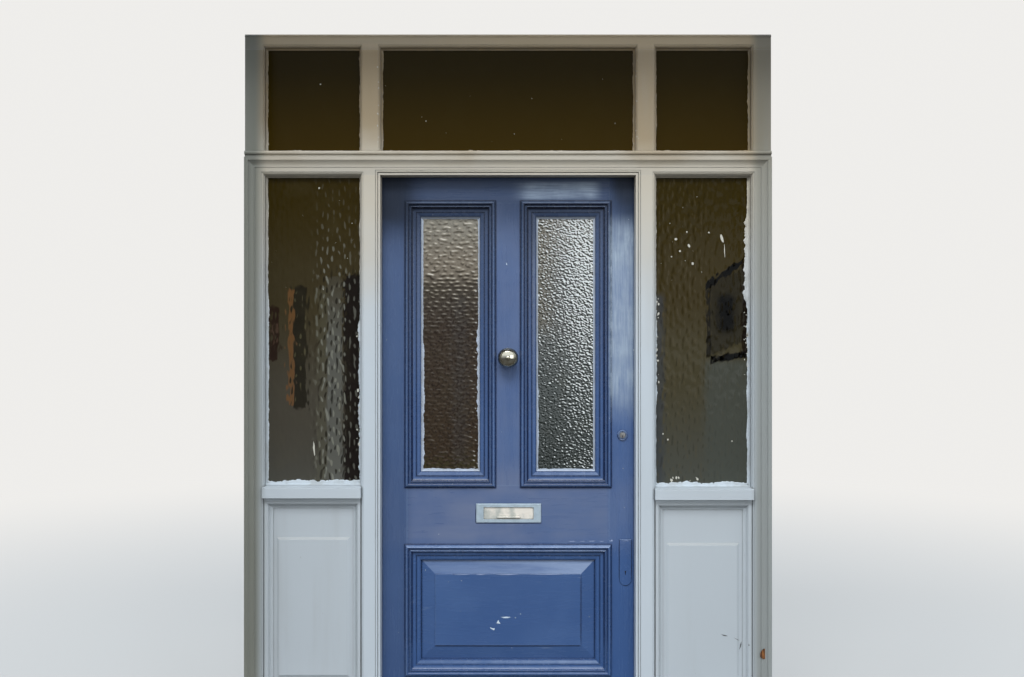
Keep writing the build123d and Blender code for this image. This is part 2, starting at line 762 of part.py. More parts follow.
def make_stile(side):
    """A stile with mortices for the rails and the groove for the lower panel."""
    stile = leaf_block(span(side, PANEL_EDGE, LEAF_EDGE), (LEAF_BOTTOM, LEAF_TOP))
    for z in rail_heights().values():
        x = span(side, PANEL_EDGE, PANEL_EDGE + TENON_LENGTH)
        stile -= tenon(x, inset(z, TENON_SHOULDER), MORTICE_CLEARANCE)
    stile -= panel_groove()
    if side == "left":
        return stile - hinge_pockets(frame_side=False) - screw_tools(leaf_screw_places())
    latch_hole = cylinder_y(LATCH_X, LATCH_Z, (LEAF_FACE - CUT, LEAF_BACK + CUT), LATCH_HOLE_RADIUS)
    return stile - latch_hole - lock_pocket() - keyhole() - screw_tools(forend_screw_places())


def make_rail(name):
    """A rail tenoned into both stiles, morticed or grooved where it needs to be."""
    z = rail_heights()[name]
    rail = leaf_block((-PANEL_EDGE, PANEL_EDGE), z)
    reach = PANEL_EDGE + TENON_LENGTH
    rail += tenon((-reach, reach), inset(z, TENON_SHOULDER))
    if name != "top_rail":
        rail -= panel_groove() & block((-FAR, FAR), (-FAR, FAR), inset(z, -1)) & leaf_block(
            (-PANEL_EDGE, PANEL_EDGE), (-FAR, FAR)
        )
    if name != "bottom_rail":
        rail -= muntin_tenons(MORTICE_CLEARANCE)
    if name == "lock_rail":
        rail -= letter_slot() + letter_bolt_holes()
    return rail


def muntin_tenons(clearance=0):
    """The tenons at both ends of the muntin, or their mortices."""
    half = TENON_THICKNESS / 2
    z = inset((UPPER_BOTTOM, UPPER_TOP), -MUNTIN_TENON_LENGTH - clearance)
    return block(
        inset((-PANE_EDGE, PANE_EDGE), TENON_SHOULDER), (LEAF_MIDDLE - half, LEAF_MIDDLE + half), z
    )


def make_muntin():
    """The middle upright between the two panes, bored for the knob's bolt."""
    muntin = leaf_block((-PANE_EDGE, PANE_EDGE), (UPPER_BOTTOM, UPPER_TOP)) + muntin_tenons()
    return muntin - cylinder_y(
        0, KNOB_CENTRE_Z, (LEAF_FACE - CUT, LEAF_BACK + CUT), BOLT_HOLE_RADIUS
    )


def make_lower_panel():
    """The raised and fielded panel: tongue, bevelled margin and a field with a sharp arris."""
    reach = PANEL_GROOVE_DEPTH - PANEL_GROOVE_CLEARANCE
    x = (-PANEL_EDGE, PANEL_EDGE)
    z = (LOWER_BOTTOM, LOWER_TOP)
    tongue = block(
        inset(x, -reach), (PANEL_FRONT, PANEL_FRONT + PANEL_TONGUE_THICKNESS), inset(z, -reach)
    )
    margin = BOLECTION_WIDTH - BOLECTION_LAP
    foot = (inset(x, margin), inset(z, margin))
    field = (inset(x, margin + PANEL_BEVEL_WIDTH), inset(z, margin + PANEL_BEVEL_WIDTH))
    rise = PANEL_FRONT - PANEL_BEVEL_RISE
    raised = tapered(foot, field, PANEL_FRONT, rise)
    return tongue + raised + block(field[0], (rise - PANEL_ARRIS, rise), field[1])


def pane_opening(side):
    """The opening over the lock rail on one side of the muntin."""
    return span(side, PANE_EDGE, PANEL_EDGE), (UPPER_BOTTOM, UPPER_TOP)


def make_pane(side):
    """A pane between the bolection moulding and the inside bead."""
    x, z = pane_opening(side)
    return block(inset(x, GLASS_CLEARANCE), (PANE_FRONT, PANE_BACK), inset(z, GLASS_CLEARANCE))


def bolection_section():
    """The bolection across: fillet, cove, two beads, hollow, quirk, splay and lip.

    Drawn as (distance outward from the opening, depth behind the leaf's face).
    """
    def at(inward, proud):
        return (BOLECTION_LAP - inward, -proud)

    bead = OUTER_FILLET_WIDTH + COVE_WIDTH
    bead_end = bead + 2 * OUTER_BEAD_RADIUS
    second = bead_end + GROOVE_WIDTH
    second_end = second + 2 * INNER_BEAD_RADIUS
    hollow_end = second_end + HOLLOW_WIDTH
    quirk = hollow_end + HOLLOW_FLAT_WIDTH
    quirk_end = quirk + INNER_QUIRK_WIDTH
    quirk_sink = -HOLLOW_SINK - INNER_QUIRK_DEPTH
    lip = BOLECTION_WIDTH - INNER_LIP_WIDTH
    return outline(
        Polyline(
            at(lip, -SPLAY_SINK), at(lip, -INNER_LIP_SINK), at(BOLECTION_WIDTH, -INNER_LIP_SINK),
            at(BOLECTION_WIDTH, -BOLECTION_REACH), at(BOLECTION_LAP, -BOLECTION_REACH),
            at(BOLECTION_LAP, 0), at(0, 0), at(0, OUTER_FILLET_PROUD),
            at(OUTER_FILLET_WIDTH, OUTER_FILLET_PROUD), at(bead, OUTER_BEAD_SPRING),
        ),
        ThreePointArc(
            at(bead, OUTER_BEAD_SPRING),
            at(bead + OUTER_BEAD_RADIUS, OUTER_BEAD_SPRING + OUTER_BEAD_RADIUS),
            at(bead_end, OUTER_BEAD_SPRING),
        ),
        Polyline(
            at(bead_end, OUTER_BEAD_SPRING), at(bead_end, GROOVE_PROUD),
            at(second, GROOVE_PROUD), at(second, INNER_BEAD_SPRING),
        ),
        ThreePointArc(
            at(second, INNER_BEAD_SPRING),
            at(second + INNER_BEAD_RADIUS, INNER_BEAD_SPRING + INNER_BEAD_RADIUS),
            at(second_end, INNER_BEAD_SPRING),
        ),
        Line(at(second_end, INNER_BEAD_SPRING), at(second_end, 0)),
        TangentArc(at(hollow_end, -HOLLOW_SINK), at(second_end, 0), tangent=(1, 0)),
        Polyline(
            at(hollow_end, -HOLLOW_SINK), at(quirk, -HOLLOW_SINK), at(quirk, quirk_sink),
            at(quirk_end, quirk_sink), at(quirk_end, -HOLLOW_SINK), at(lip, -SPLAY_SINK),
        ),
    )


def make_bolection(x, z):
    """A mitred bolection moulding, lapped onto the leaf round an opening."""
    return mitred_ring(bolection_section(), x, z, LEAF_FACE)


def make_inside_bead(side):
    """The bead that holds a pane from inside, rounded at its free corner."""
    width = INSIDE_BEAD_WIDTH
    corner = INSIDE_BEAD_CORNER
    soft = corner * (1 - 1 / math.sqrt(2))
    section = outline(
        Line((0, PANE_BACK), (-width, PANE_BACK)),
        Line((-width, PANE_BACK), (-width, LEAF_BACK - corner)),
        ThreePointArc(
            (-width, LEAF_BACK - corner), (soft - width, LEAF_BACK - soft),
            (corner - width, LEAF_BACK),
        ),
        Line((corner - width, LEAF_BACK), (0, LEAF_BACK)),
        Line((0, LEAF_BACK), (0, PANE_BACK)),
    )
    x, z = pane_opening(side)
    return mitred_ring(section, x, z)


def make_pane_putty():
    """The putty between each bolection moulding and its pane."""
    edge = BOLECTION_LAP - BOLECTION_WIDTH
    section = make_face(Polyline(
        (edge, PANE_FRONT), (edge - PANE_PUTTY_WIDTH, PANE_FRONT),
        (edge, PANE_FRONT - PANE_PUTTY_DEPTH), close=True,
    ))
    return [mitred_ring(section, *pane_opening(side)) for side in SIGN]


# Screws and bolts

def screw(place, clearance=0):
    """A countersunk screw sunk along its place's normal, or the hole it needs."""
    head = SCREW_HEAD_RADIUS + clearance
    shank = SCREW_SHANK_RADIUS + clearance
    cone = head - shank
    section = make_face(Polyline(
        (0, clearance), (head, clearance), (head, 0), (shank, -cone),
        (shank, -SCREW_LENGTH - clearance), (0, -SCREW_LENGTH - clearance), close=True,
    )) if clearance else make_face(Polyline(
        (0, 0), (head, 0), (shank, -cone), (shank, -SCREW_LENGTH), (0, -SCREW_LENGTH), close=True,
    ))
    return place * revolve(Plane.XZ * section, Axis.Z)


def facing(x, y, z, normal):
    """A plane at a point, with the given outward normal along X or Y."""
    return Plane(origin=(x, y, z), x_dir=(0, 0, 1), z_dir=normal)


def screw_tools(places):
    """The holes for a list of screws, as one cutter."""
    tool = screw(places[0], SCREW_CLEARANCE)
    for place in places[1:]:
        tool += screw(place, SCREW_CLEARANCE)
    return tool


def hinge_screw_places(x, normal):
    """Three screws through each hinge leaf, staggered in depth."""
    near = LEAF_BACK - HINGE_LEAF_WIDTH / 2
    places = []
    for height in HINGE_HEIGHTS:
        for step, shift in ((-1, -1), (0, 1), (1, -1)):
            y = near + shift * HINGE_SCREW_STAGGER
            places.append(facing(x, y, height + step * HINGE_LENGTH / 3, normal))
    return places


def leaf_screw_places():
    return hinge_screw_places(-LEAF_EDGE, (-1, 0, 0))


def frame_screw_places():
    return hinge_screw_places(-REVEAL, (1, 0, 0))


def keep_screw_places():
    """Two screws through the latch keep's flange into the post."""
    x = KEEP_X + KEEP_BOX_LENGTH / 2
    z = KEEP_HEIGHT / 2 - SCREW_MARGIN
    y = LEAF_BACK + KEEP_FLANGE
    return [facing(x, y, LATCH_Z + step * z, (0, 1, 0)) for step in (-1, 1)]


def strike_screw_places():
    """Two screws through the strike plate into the post."""
    z = STRIKE_HEIGHT / 2 - SCREW_MARGIN
    return [
        facing(REVEAL, LEAF_MIDDLE, dead_bolt_z() + step * z, (-1, 0, 0)) for step in (-1, 1)
    ]


def forend_screw_places():
    """Two screws through the mortice lock's forend into the lock stile."""
    z = FOREND_HEIGHT / 2 - SCREW_MARGIN
    return [
        facing(LEAF_EDGE, LEAF_MIDDLE, lock_case_z() + step * z, (1, 0, 0)) for step in (-1, 1)
    ]


def through_bolt(x, z):
    """A bolt through the leaf, with a washer and a nut on the inner face."""
    seat = LEAF_BACK + WASHER_THICKNESS
    bolt = cylinder_y(x, z, (LEAF_FACE, seat + NUT_HEIGHT + BOLT_END), BOLT_RADIUS)
    bolt += cylinder_y(x, z, (LEAF_BACK, seat), WASHER_RADIUS)
    place = Plane(origin=(x, seat, z), x_dir=(1, 0, 0), z_dir=(0, 1, 0))
    return bolt + extrude(place * RegularPolygon(NUT_RADIUS, 6), NUT_HEIGHT)


def make_through_bolts():
    """The knob's bolt and the two of the letter plate."""
    places = [(0, KNOB_CENTRE_Z)] + letter_bolt_places()
    return [through_bolt(x, z) for x, z in places]


# Hinges

def knuckle_spans(height, frame_side):
    """Heights of the knuckles that belong to one half of a hinge."""
    pitch = HINGE_LENGTH / KNUCKLES
    bottom = height - HINGE_LENGTH / 2
    first = 0 if frame_side else 1
    return [
        inset((bottom + index * pitch, bottom + (index + 1) * pitch), KNUCKLE_GAP / 2)
        for index in range(first, KNUCKLES, 2)
    ]


def upright_bar(x, y, z, radius):
    """A round bar along Z."""
    return extrude(Pos(x, y, z[0]) * Circle(radius), z[1] - z[0])


def hinge_plate_x(frame_side):
    """The X stretch of a hinge leaf, let in flush with its edge."""
    if frame_side:
        return (-REVEAL - HINGE_LEAF_THICKNESS, -REVEAL)
    return (-LEAF_EDGE, -LEAF_EDGE + HINGE_LEAF_THICKNESS)


def hinge_pockets(frame_side):
    """The pockets that take the hinge leaves."""
    tool = None
    for height in HINGE_HEIGHTS:
        z = (height - HINGE_LENGTH / 2, height + HINGE_LENGTH / 2)
        y = (LEAF_BACK - HINGE_LEAF_WIDTH, LEAF_BACK + CUT)
        pocket = block(hinge_plate_x(frame_side), y, z)
        tool = pocket if tool is None else tool + pocket
    return tool


def hinge_half(height, frame_side):
    """One half of a butt hinge: the leaf, cut clear of the other half's knuckles."""
    z = (height - HINGE_LENGTH / 2, height + HINGE_LENGTH / 2)
    x = hinge_plate_x(frame_side)
    clear = KNUCKLE_RADIUS + KNUCKLE_GAP
    half = block(x, (LEAF_BACK - HINGE_LEAF_WIDTH, LEAF_BACK), z)
    for other in knuckle_spans(height, not frame_side):
        half -= upright_bar(HINGE_X, HINGE_Y, inset(other, -KNUCKLE_GAP), clear)
    for own in knuckle_spans(height, frame_side):
        half += block(x, (LEAF_BACK - CUT, HINGE_Y), own)
        half += upright_bar(HINGE_X, HINGE_Y, own, KNUCKLE_RADIUS)
    half -= upright_bar(HINGE_X, HINGE_Y, z, PIN_RADIUS + PIN_CLEARANCE)
    edge = -REVEAL if frame_side else -LEAF_EDGE
    normal = (1, 0, 0) if frame_side else (-1, 0, 0)
    return half - screw_tools(hinge_screw_places(edge, normal))


def make_hinge_pin(height):
    """A hinge pin with a small ball tip at each end."""
    z = (height - HINGE_LENGTH / 2, height + HINGE_LENGTH / 2)
    low, high = inset(z, -KNUCKLE_GAP)
    pin = upright_bar(HINGE_X, HINGE_Y, (low, high), PIN_RADIUS)
    for tip in ((low - PIN_TIP_HEIGHT, low), (high, high + PIN_TIP_HEIGHT)):
        pin += upright_bar(HINGE_X, HINGE_Y, tip, PIN_TIP_RADIUS)
    return pin


# Centre knob

def make_knob():
    """A turned pull knob: moulded foot, waisted neck, full head with a centre boss."""
    tip = -KNOB_PROJECTION
    foot = -KNOB_FOOT_HEIGHT
    back = tip + KNOB_HEAD_DEPTH
    face = tip + KNOB_BOSS_HEIGHT
    waist = KNOB_NECK_RADIUS
    flare = waist + KNOB_NECK_FLARE
    rim = KNOB_RADIUS - KNOB_SHOULDER
    boss = KNOB_BOSS_RADIUS
    section = outline(
        Polyline(
            (0, 0), (KNOB_FOOT_RADIUS, 0), (KNOB_FOOT_RADIUS, foot / 2),
            (KNOB_FOOT_RADIUS - KNOB_NECK_FLARE, foot), (flare, foot),
        ),
        ThreePointArc((flare, foot), (waist, (foot + back) / 2), (flare, back)),
        ThreePointArc((flare, back), (KNOB_RADIUS, (back + face) / 2), (rim, face)),
        Polyline((rim, face), (boss, face), (boss, tip), (0, tip), (0, 0)),
    )
    return turned_y(section, 0, KNOB_CENTRE_Z, LEAF_FACE)


# Letter plate

def plate_rectangle(width, height, y, corner=0):
    """An upright rectangle centred on the letter plate, at a depth."""
    place = Plane(origin=(LETTER_PLATE_X, y, LETTER_PLATE_Z), x_dir=(1, 0, 0), z_dir=(0, -1, 0))
    if corner:
        return place * RectangleRounded(width, height, corner)
    return place * Rectangle(width, height)


def flap_pin_centre():
    """Depth and height of the flap's pin."""
    y = LEAF_FACE + FLAP_GAP + FLAP_BARREL_RADIUS + CUT
    return y, LETTER_PLATE_Z + APERTURE_HEIGHT / 2 + FLAP_PIN_RISE


def slot_half_width():
    return APERTURE_WIDTH / 2 + FLAP_LAP + LUG_GAP + LUG_THICKNESS + SLOT_MARGIN


def letter_slot():
    """The slot through the lock rail, with room for the flap and its lugs."""
    pin_top = flap_pin_centre()[1] + FLAP_BARREL_RADIUS
    low = LETTER_PLATE_Z - APERTURE_HEIGHT / 2 - FLAP_LAP
    half = slot_half_width()
    return block(
        (LETTER_PLATE_X - half, LETTER_PLATE_X + half), (LEAF_FACE - CUT, LEAF_BACK + CUT),
        (low - SLOT_MARGIN, pin_top + SLOT_MARGIN),
    )


def letter_bolt_places():
    half = LETTER_BOLT_SPACING / 2
    return [(LETTER_PLATE_X + step * half, LETTER_PLATE_Z) for step in (-1, 1)]


def letter_bolt_holes():
    """The two bolt holes through the lock rail."""
    y = (LEAF_FACE - CUT, LEAF_BACK + CUT)
    (x_left, z), (x_right, _) = letter_bolt_places()
    return cylinder_y(x_left, z, y, BOLT_HOLE_RADIUS) + cylinder_y(x_right, z, y, BOLT_HOLE_RADIUS)


def make_letter_plate():
    """The plate with an eased front edge, its aperture, and two lugs for the pin."""
    front = LEAF_FACE - LETTER_PLATE_THICKNESS
    eased = LETTER_PLATE_THICKNESS - LETTER_PLATE_EASE
    width, height, corner = LETTER_PLATE_WIDTH, LETTER_PLATE_HEIGHT, LETTER_PLATE_CORNER
    rim = LETTER_PLATE_EASE * 2
    plate = extrude(plate_rectangle(width, height, LEAF_FACE, corner), eased) + loft([
        plate_rectangle(width, height, LEAF_FACE - eased, corner),
        plate_rectangle(width - rim, height - rim, front, corner),
    ])
    aperture = plate_rectangle(APERTURE_WIDTH, APERTURE_HEIGHT, LEAF_BACK, APERTURE_CORNER)
    plate -= extrude(aperture, LEAF_BACK)
    y, z = flap_pin_centre()
    inner = APERTURE_WIDTH / 2 + FLAP_LAP + LUG_GAP
    for side in SIGN:
        low, high = span(side, inner, inner + LUG_THICKNESS)
        lug = block(
            (LETTER_PLATE_X + low, LETTER_PLATE_X + high),
            (LEAF_FACE - CUT, y + FLAP_BARREL_RADIUS), (z - LUG_DROP, z + FLAP_BARREL_RADIUS),
        )
        plate += lug
    return plate - flap_pin_bar(FLAP_PIN_CLEARANCE)


def flap_pin_bar(clearance=0):
    """The flap's pin, or the hole for it."""
    y, z = flap_pin_centre()
    half = slot_half_width() - SLOT_MARGIN / 2 + clearance
    section = Pos(y, z) * Circle(FLAP_PIN_RADIUS + clearance)
    return bar_along_x(section, (LETTER_PLATE_X - half, LETTER_PLATE_X + half))


def make_flap():
    """The flap behind the aperture: plate, barrel round the pin and a finger lip."""
    y, z = flap_pin_centre()
    front = LEAF_FACE + FLAP_GAP
    half = APERTURE_WIDTH / 2 + FLAP_LAP
    low = LETTER_PLATE_Z - APERTURE_HEIGHT / 2
    x = (LETTER_PLATE_X - half, LETTER_PLATE_X + half)
    flap = block(x, (front, front + FLAP_THICKNESS), (low - FLAP_LAP, z))
    flap += bar_along_x(Pos(y, z) * Circle(FLAP_BARREL_RADIUS), x)
    lip_low, lip_high = low + LIP_RISE, low + LIP_RISE + LIP_HEIGHT
    back = front + FLAP_THICKNESS / 2
    lip = make_face(Polyline(
        (back, lip_low), (front, lip_low), (front - LIP_PROUD, lip_low + LIP_TAPER),
        (front - LIP_PROUD, lip_high - LIP_TAPER), (front, lip_high), (back, lip_high),
        close=True,
    ))
    flap += bar_along_x(lip, (LETTER_PLATE_X - LIP_WIDTH / 2, LETTER_PLATE_X + LIP_WIDTH / 2))
    return flap - flap_pin_bar(FLAP_PIN_CLEARANCE)


# Night latch

def make_latch_ring():
    """The tapered ring round the cylinder on the leaf's face."""
    bore = LATCH_BODY_RADIUS + RING_CLEARANCE
    section = make_face(Polyline(
        (bore, 0), (LATCH_RING_RADIUS, 0), (LATCH_RING_RADIUS, -LATCH_RING_PROUD / 2),
        (LATCH_RING_RADIUS - LATCH_RING_BEVEL, -LATCH_RING_PROUD), (bore, -LATCH_RING_PROUD),
        close=True,
    ))
    return turned_y(section, LATCH_X, LATCH_Z, LEAF_FACE)


def plug_centre_z():
    return LATCH_Z - PLUG_DROP


def make_latch_cylinder():
    """The cylinder's body, bored for the plug below its centre."""
    front = LEAF_FACE - LATCH_RING_PROUD
    body = cylinder_y(LATCH_X, LATCH_Z, (front, front + LATCH_BODY_LENGTH), LATCH_BODY_RADIUS)
    bore = PLUG_RADIUS + PLUG_CLEARANCE
    return body - cylinder_y(LATCH_X, plug_centre_z(), (-FAR, FAR), bore)


def make_plug():
    """The plug with its key slot, and the flat tail that reaches the latch."""
    front = LEAF_FACE - LATCH_RING_PROUD
    z = plug_centre_z()
    plug = cylinder_y(LATCH_X, z, (front, front + PLUG_LENGTH), PLUG_RADIUS)
    half = KEY_SLOT_WIDTH / 2
    plug -= block(
        (LATCH_X - half, LATCH_X + half), (front - CUT, front + KEY_SLOT_DEPTH),
        (z - KEY_SLOT_HEIGHT / 2, z + KEY_SLOT_HEIGHT / 2),
    )
    tail = block(
        (LATCH_X - TAIL_WIDTH / 2, LATCH_X + TAIL_WIDTH / 2),
        (front + PLUG_LENGTH - CUT, LEAF_BACK + CASE_WALL),
        (z - TAIL_THICKNESS / 2, z + TAIL_THICKNESS / 2),
    )
    return plug + tail


def latch_bolt_space(clearance=0):
    """Depths and heights of the latch bolt, or of the way it slides in."""
    y = LEAF_BACK + CASE_DEPTH / 2 + LATCH_BOLT_OFFSET
    half_y = LATCH_BOLT_THICKNESS / 2 + clearance
    half_z = LATCH_BOLT_HEIGHT / 2 + clearance
    return (y - half_y, y + half_y), (LATCH_Z - half_z, LATCH_Z + half_z)


def make_latch_case():
    """The latch's case: an open-backed box with the bolt's mouth and the spindle's hole."""
    x = (LEAF_EDGE - CASE_LENGTH, LEAF_EDGE)
    z = (LATCH_Z - CASE_HEIGHT / 2, LATCH_Z + CASE_HEIGHT / 2)
    front = LEAF_BACK + CASE_DEPTH
    case = block(x, (LEAF_BACK, front), z)
    case = fillet(case.edges().filter_by(Axis.Y), CASE_CORNER)
    case -= block(inset(x, CASE_WALL), (LEAF_BACK - CUT, front - CASE_WALL), inset(z, CASE_WALL))
    way_y, way_z = latch_bolt_space(BOLT_GUIDE_CLEARANCE)
    case -= block((LEAF_EDGE - CASE_WALL - CUT, LEAF_EDGE + CUT), way_y, way_z)
    return case - cylinder_y(
        LATCH_KNOB_X, LATCH_Z, (LEAF_BACK, front + CUT), LATCH_SPINDLE_RADIUS + PLUG_CLEARANCE
    )


def make_latch_bolt():
    """The latch bolt, drawn back, with the bevel that meets the keep."""
    y, z = latch_bolt_space()
    x = (LEAF_EDGE - LATCH_BOLT_LENGTH, LEAF_EDGE - BOLT_SETBACK)
    section = make_face(Polyline(
        (x[0], y[0]), (x[1], y[0]), (x[1], y[1] - LATCH_BOLT_BEVEL),
        (x[1] - LATCH_BOLT_BEVEL, y[1]), (x[0], y[1]), close=True,
    ))
    return extrude(Pos(0, 0, z[0]) * section, LATCH_BOLT_HEIGHT)


def make_latch_knob():
    """The inside turn knob, its spindle ending inside the case."""
    front = LEAF_BACK + CASE_DEPTH
    spindle = cylinder_y(
        LATCH_KNOB_X, LATCH_Z, (front - CASE_WALL - LATCH_SPINDLE_REACH, front + CUT),
        LATCH_SPINDLE_RADIUS,
    )
    eased = LATCH_KNOB_RADIUS - LATCH_KNOB_BEVEL
    grip = turned_y(make_face(Polyline(
        (0, 0), (eased, 0), (LATCH_KNOB_RADIUS, LATCH_KNOB_BEVEL),
        (LATCH_KNOB_RADIUS, LATCH_KNOB_LENGTH - LATCH_KNOB_BEVEL), (eased, LATCH_KNOB_LENGTH),
        (0, LATCH_KNOB_LENGTH), close=True,
    )), LATCH_KNOB_X, LATCH_Z, front + BOLT_GUIDE_CLEARANCE)
    return spindle + grip


def make_latch_keep():
    """The keep on the post's inner face: a flange and a box that takes the bolt."""
    flange = block(
        (KEEP_X, KEEP_X + KEEP_LENGTH), (LEAF_BACK, LEAF_BACK + KEEP_FLANGE),
        (LATCH_Z - KEEP_HEIGHT / 2, LATCH_Z + KEEP_HEIGHT / 2),
    )
    way_y, way_z = latch_bolt_space(STRIKE_CLEARANCE)
    box_x = (KEEP_X, KEEP_X + KEEP_BOX_LENGTH)
    box = block(box_x, (LEAF_BACK, LEAF_BACK + CASE_DEPTH), inset(way_z, -CASE_WALL))
    pocket = block((box_x[0] - CUT, box_x[1] - CASE_WALL), way_y, way_z)
    return flange + box - pocket - screw_tools(keep_screw_places())


# Mortice dead lock

def lock_case_z():
    """Middle height of the lock case and its forend."""
    return KEYHOLE_Z + LOCK_CASE_HEIGHT / 2 - LOCK_CASE_DROP


def dead_bolt_z():
    return KEYHOLE_Z + DEAD_BOLT_RISE


def keyhole():
    """The keyhole, through everything it passes: a round top and a narrower slot below."""
    y = (LEAF_FACE - ESCUTCHEON_THICKNESS - CUT, LEAF_BACK + CUT)
    half = KEYHOLE_SLOT_WIDTH / 2
    slot = block(
        (KEYHOLE_X - half, KEYHOLE_X + half), y, (KEYHOLE_Z - KEYHOLE_SLOT_HEIGHT, KEYHOLE_Z)
    )
    return slot + cylinder_y(KEYHOLE_X, KEYHOLE_Z, y, KEYHOLE_RADIUS)


def lock_bodies():
    """The lock's case and its forend plate."""
    middle = lock_case_z()
    inner = LEAF_EDGE - FOREND_THICKNESS
    case_z = (middle - LOCK_CASE_HEIGHT / 2, middle + LOCK_CASE_HEIGHT / 2)
    half = LOCK_CASE_THICKNESS / 2
    case = block((LEAF_EDGE - LOCK_CASE_DEPTH, inner), (LEAF_MIDDLE - half, LEAF_MIDDLE + half), case_z)
    width = FOREND_WIDTH / 2
    forend = block(
        (inner, LEAF_EDGE), (LEAF_MIDDLE - width, LEAF_MIDDLE + width),
        (middle - FOREND_HEIGHT / 2, middle + FOREND_HEIGHT / 2),
    )
    return case, forend


def lock_pocket():
    """The mortice and the let-in recess that take the lock."""
    case, forend = lock_bodies()
    return case + forend


def dead_bolt_space(clearance=0):
    """Depths and heights of the dead bolt, or of the way it slides in."""
    half_y = DEAD_BOLT_THICKNESS / 2 + clearance
    half_z = DEAD_BOLT_HEIGHT / 2 + clearance
    z = dead_bolt_z()
    return (LEAF_MIDDLE - half_y, LEAF_MIDDLE + half_y), (z - half_z, z + half_z)


def make_mortice_lock():
    """The lock case and forend, hollow where the bolt slides, with its keyhole."""
    case, forend = lock_bodies()
    y, z = dead_bolt_space(BOLT_GUIDE_CLEARANCE)
    way = block((LEAF_EDGE - DEAD_BOLT_LENGTH - CUT, LEAF_EDGE + CUT), y, z)
    return case + forend - way - keyhole() - screw_tools(forend_screw_places())


def make_dead_bolt():
    """The dead bolt, drawn back level with the forend."""
    y, z = dead_bolt_space()
    return block((LEAF_EDGE - DEAD_BOLT_LENGTH, LEAF_EDGE - BOLT_SETBACK), y, z)


def strike_plate_body():
    """The strike plate let into the post."""
    half = FOREND_WIDTH / 2
    z = (dead_bolt_z() - STRIKE_HEIGHT / 2, dead_bolt_z() + STRIKE_HEIGHT / 2)
    return block((REVEAL, REVEAL + FOREND_THICKNESS), (LEAF_MIDDLE - half, LEAF_MIDDLE + half), z)


def strike_way():
    """The hole in the strike plate and the mortice behind it."""
    y, z = dead_bolt_space(STRIKE_CLEARANCE)
    return block((REVEAL - CUT, REVEAL + DEAD_BOLT_THROW), y, z)


def strike_pocket():
    return strike_plate_body() + strike_way()


def make_strike_plate():
    """The strike plate, with its hole for the dead bolt."""
    return strike_plate_body() - strike_way() - screw_tools(strike_screw_places())


def make_escutcheon():
    """The escutcheon plate: square at the top, round at the bottom, with its keyhole."""
    half = ESCUTCHEON_WIDTH / 2
    bottom = KEYHOLE_Z - ESCUTCHEON_DROP
    top = bottom + ESCUTCHEON_HEIGHT
    place = Plane(origin=(KEYHOLE_X, LEAF_FACE, 0), x_dir=(1, 0, 0), z_dir=(0, -1, 0))
    face = outline(
        Polyline((half, bottom + half), (half, top), (-half, top), (-half, bottom + half)),
        ThreePointArc((-half, bottom + half), (0, bottom), (half, bottom + half)),
    )
    plate = extrude(place * face, ESCUTCHEON_THICKNESS)
    front = plate.faces().sort_by(Axis.Y)[0]
    return chamfer(front.edges(), ESCUTCHEON_EASE) - keyhole()


def make_parts():
    """Every node of the door, by name."""
    parts = {"sill": make_sill(), "head": make_head(), "transom_rail": make_transom()}
    parts.update(make_architrave())
    for side in SIGN:
        parts["jamb_" + side] = make_jamb(side)
        parts["post_" + side] = make_post(side)
        parts["side_bar_" + side] = make_side_bar(side)
        parts["side_bottom_rail_" + side] = make_side_bottom_rail(side)
        parts["side_panel_" + side] = make_side_panel(side)
        parts["side_moulding_" + side] = make_side_moulding(side)
    for name, (x, z) in frame_panes().items():
        parts[name] = make_glass(x, z)
    parts["frame_putty"] = make_frame_putty()
    parts["hinge_stile"] = make_stile("left")
    parts["lock_stile"] = make_stile("right")
    for name in rail_heights():
        parts[name] = make_rail(name)
    parts["muntin"] = make_muntin()
    parts["lower_panel"] = make_lower_panel()
    for side in SIGN:
        x, z = pane_opening(side)
        parts["pane_" + side] = make_pane(side)
        parts["bolection_" + side] = make_bolection(x, z)
        parts["inside_bead_" + side] = make_inside_bead(side)
    parts["bolection_lower"] = make_bolection((-PANEL_EDGE, PANEL_EDGE), (LOWER_BOTTOM, LOWER_TOP))
    parts["pane_putty"] = make_pane_putty()
    parts["centre_knob"] = make_knob()
    parts["through_bolts"] = make_through_bolts()
    parts["letter_plate"] = make_letter_plate()
    parts["letter_flap"] = make_flap()
    parts["flap_pin"] = flap_pin_bar()
    parts["latch_ring"] = make_latch_ring()
    parts["latch_cylinder"] = make_latch_cylinder()
    parts["cylinder_plug"] = make_plug()
    parts["latch_case"] = make_latch_case()
    parts["latch_bolt"] = make_latch_bolt()
    parts["latch_knob"] = make_latch_knob()
    parts["latch_keep"] = make_latch_keep()
    parts["mortice_lock"] = make_mortice_lock()
    parts["dead_bolt"] = make_dead_bolt()
    parts["strike_plate"] = make_strike_plate()
    parts["escutcheon"] = make_escutcheon()
    parts["hinge_frame_leaves"] = [hinge_half(height, True) for height in HINGE_HEIGHTS]
    parts["hinge_door_leaves"] = [hinge_half(height, False) for height in HINGE_HEIGHTS]
    parts["hinge_pins"] = [make_hinge_pin(height) for height in HINGE_HEIGHTS]
    frame_places = frame_screw_places() + keep_screw_places() + strike_screw_places()
    parts["frame_screws"] = [screw(place) for place in frame_places]
    door_places = leaf_screw_places() + forend_screw_places()
    parts["leaf_screws"] = [screw(place) for place in door_places]
    return parts


def main():
    """Writes one STEP file for each node."""
    os.makedirs("parts", exist_ok=True)
    for name, shape in make_parts().items():
        if isinstance(shape, list):
            solids = [solid for item in shape for solid in item.solids()]
            shape = Compound(children=solids)
        export_step(shape, f"parts/{name}.step")
        print(name, round(shape.volume / 1000, 1), "cm3")


if __name__ == "__main__":
    main()
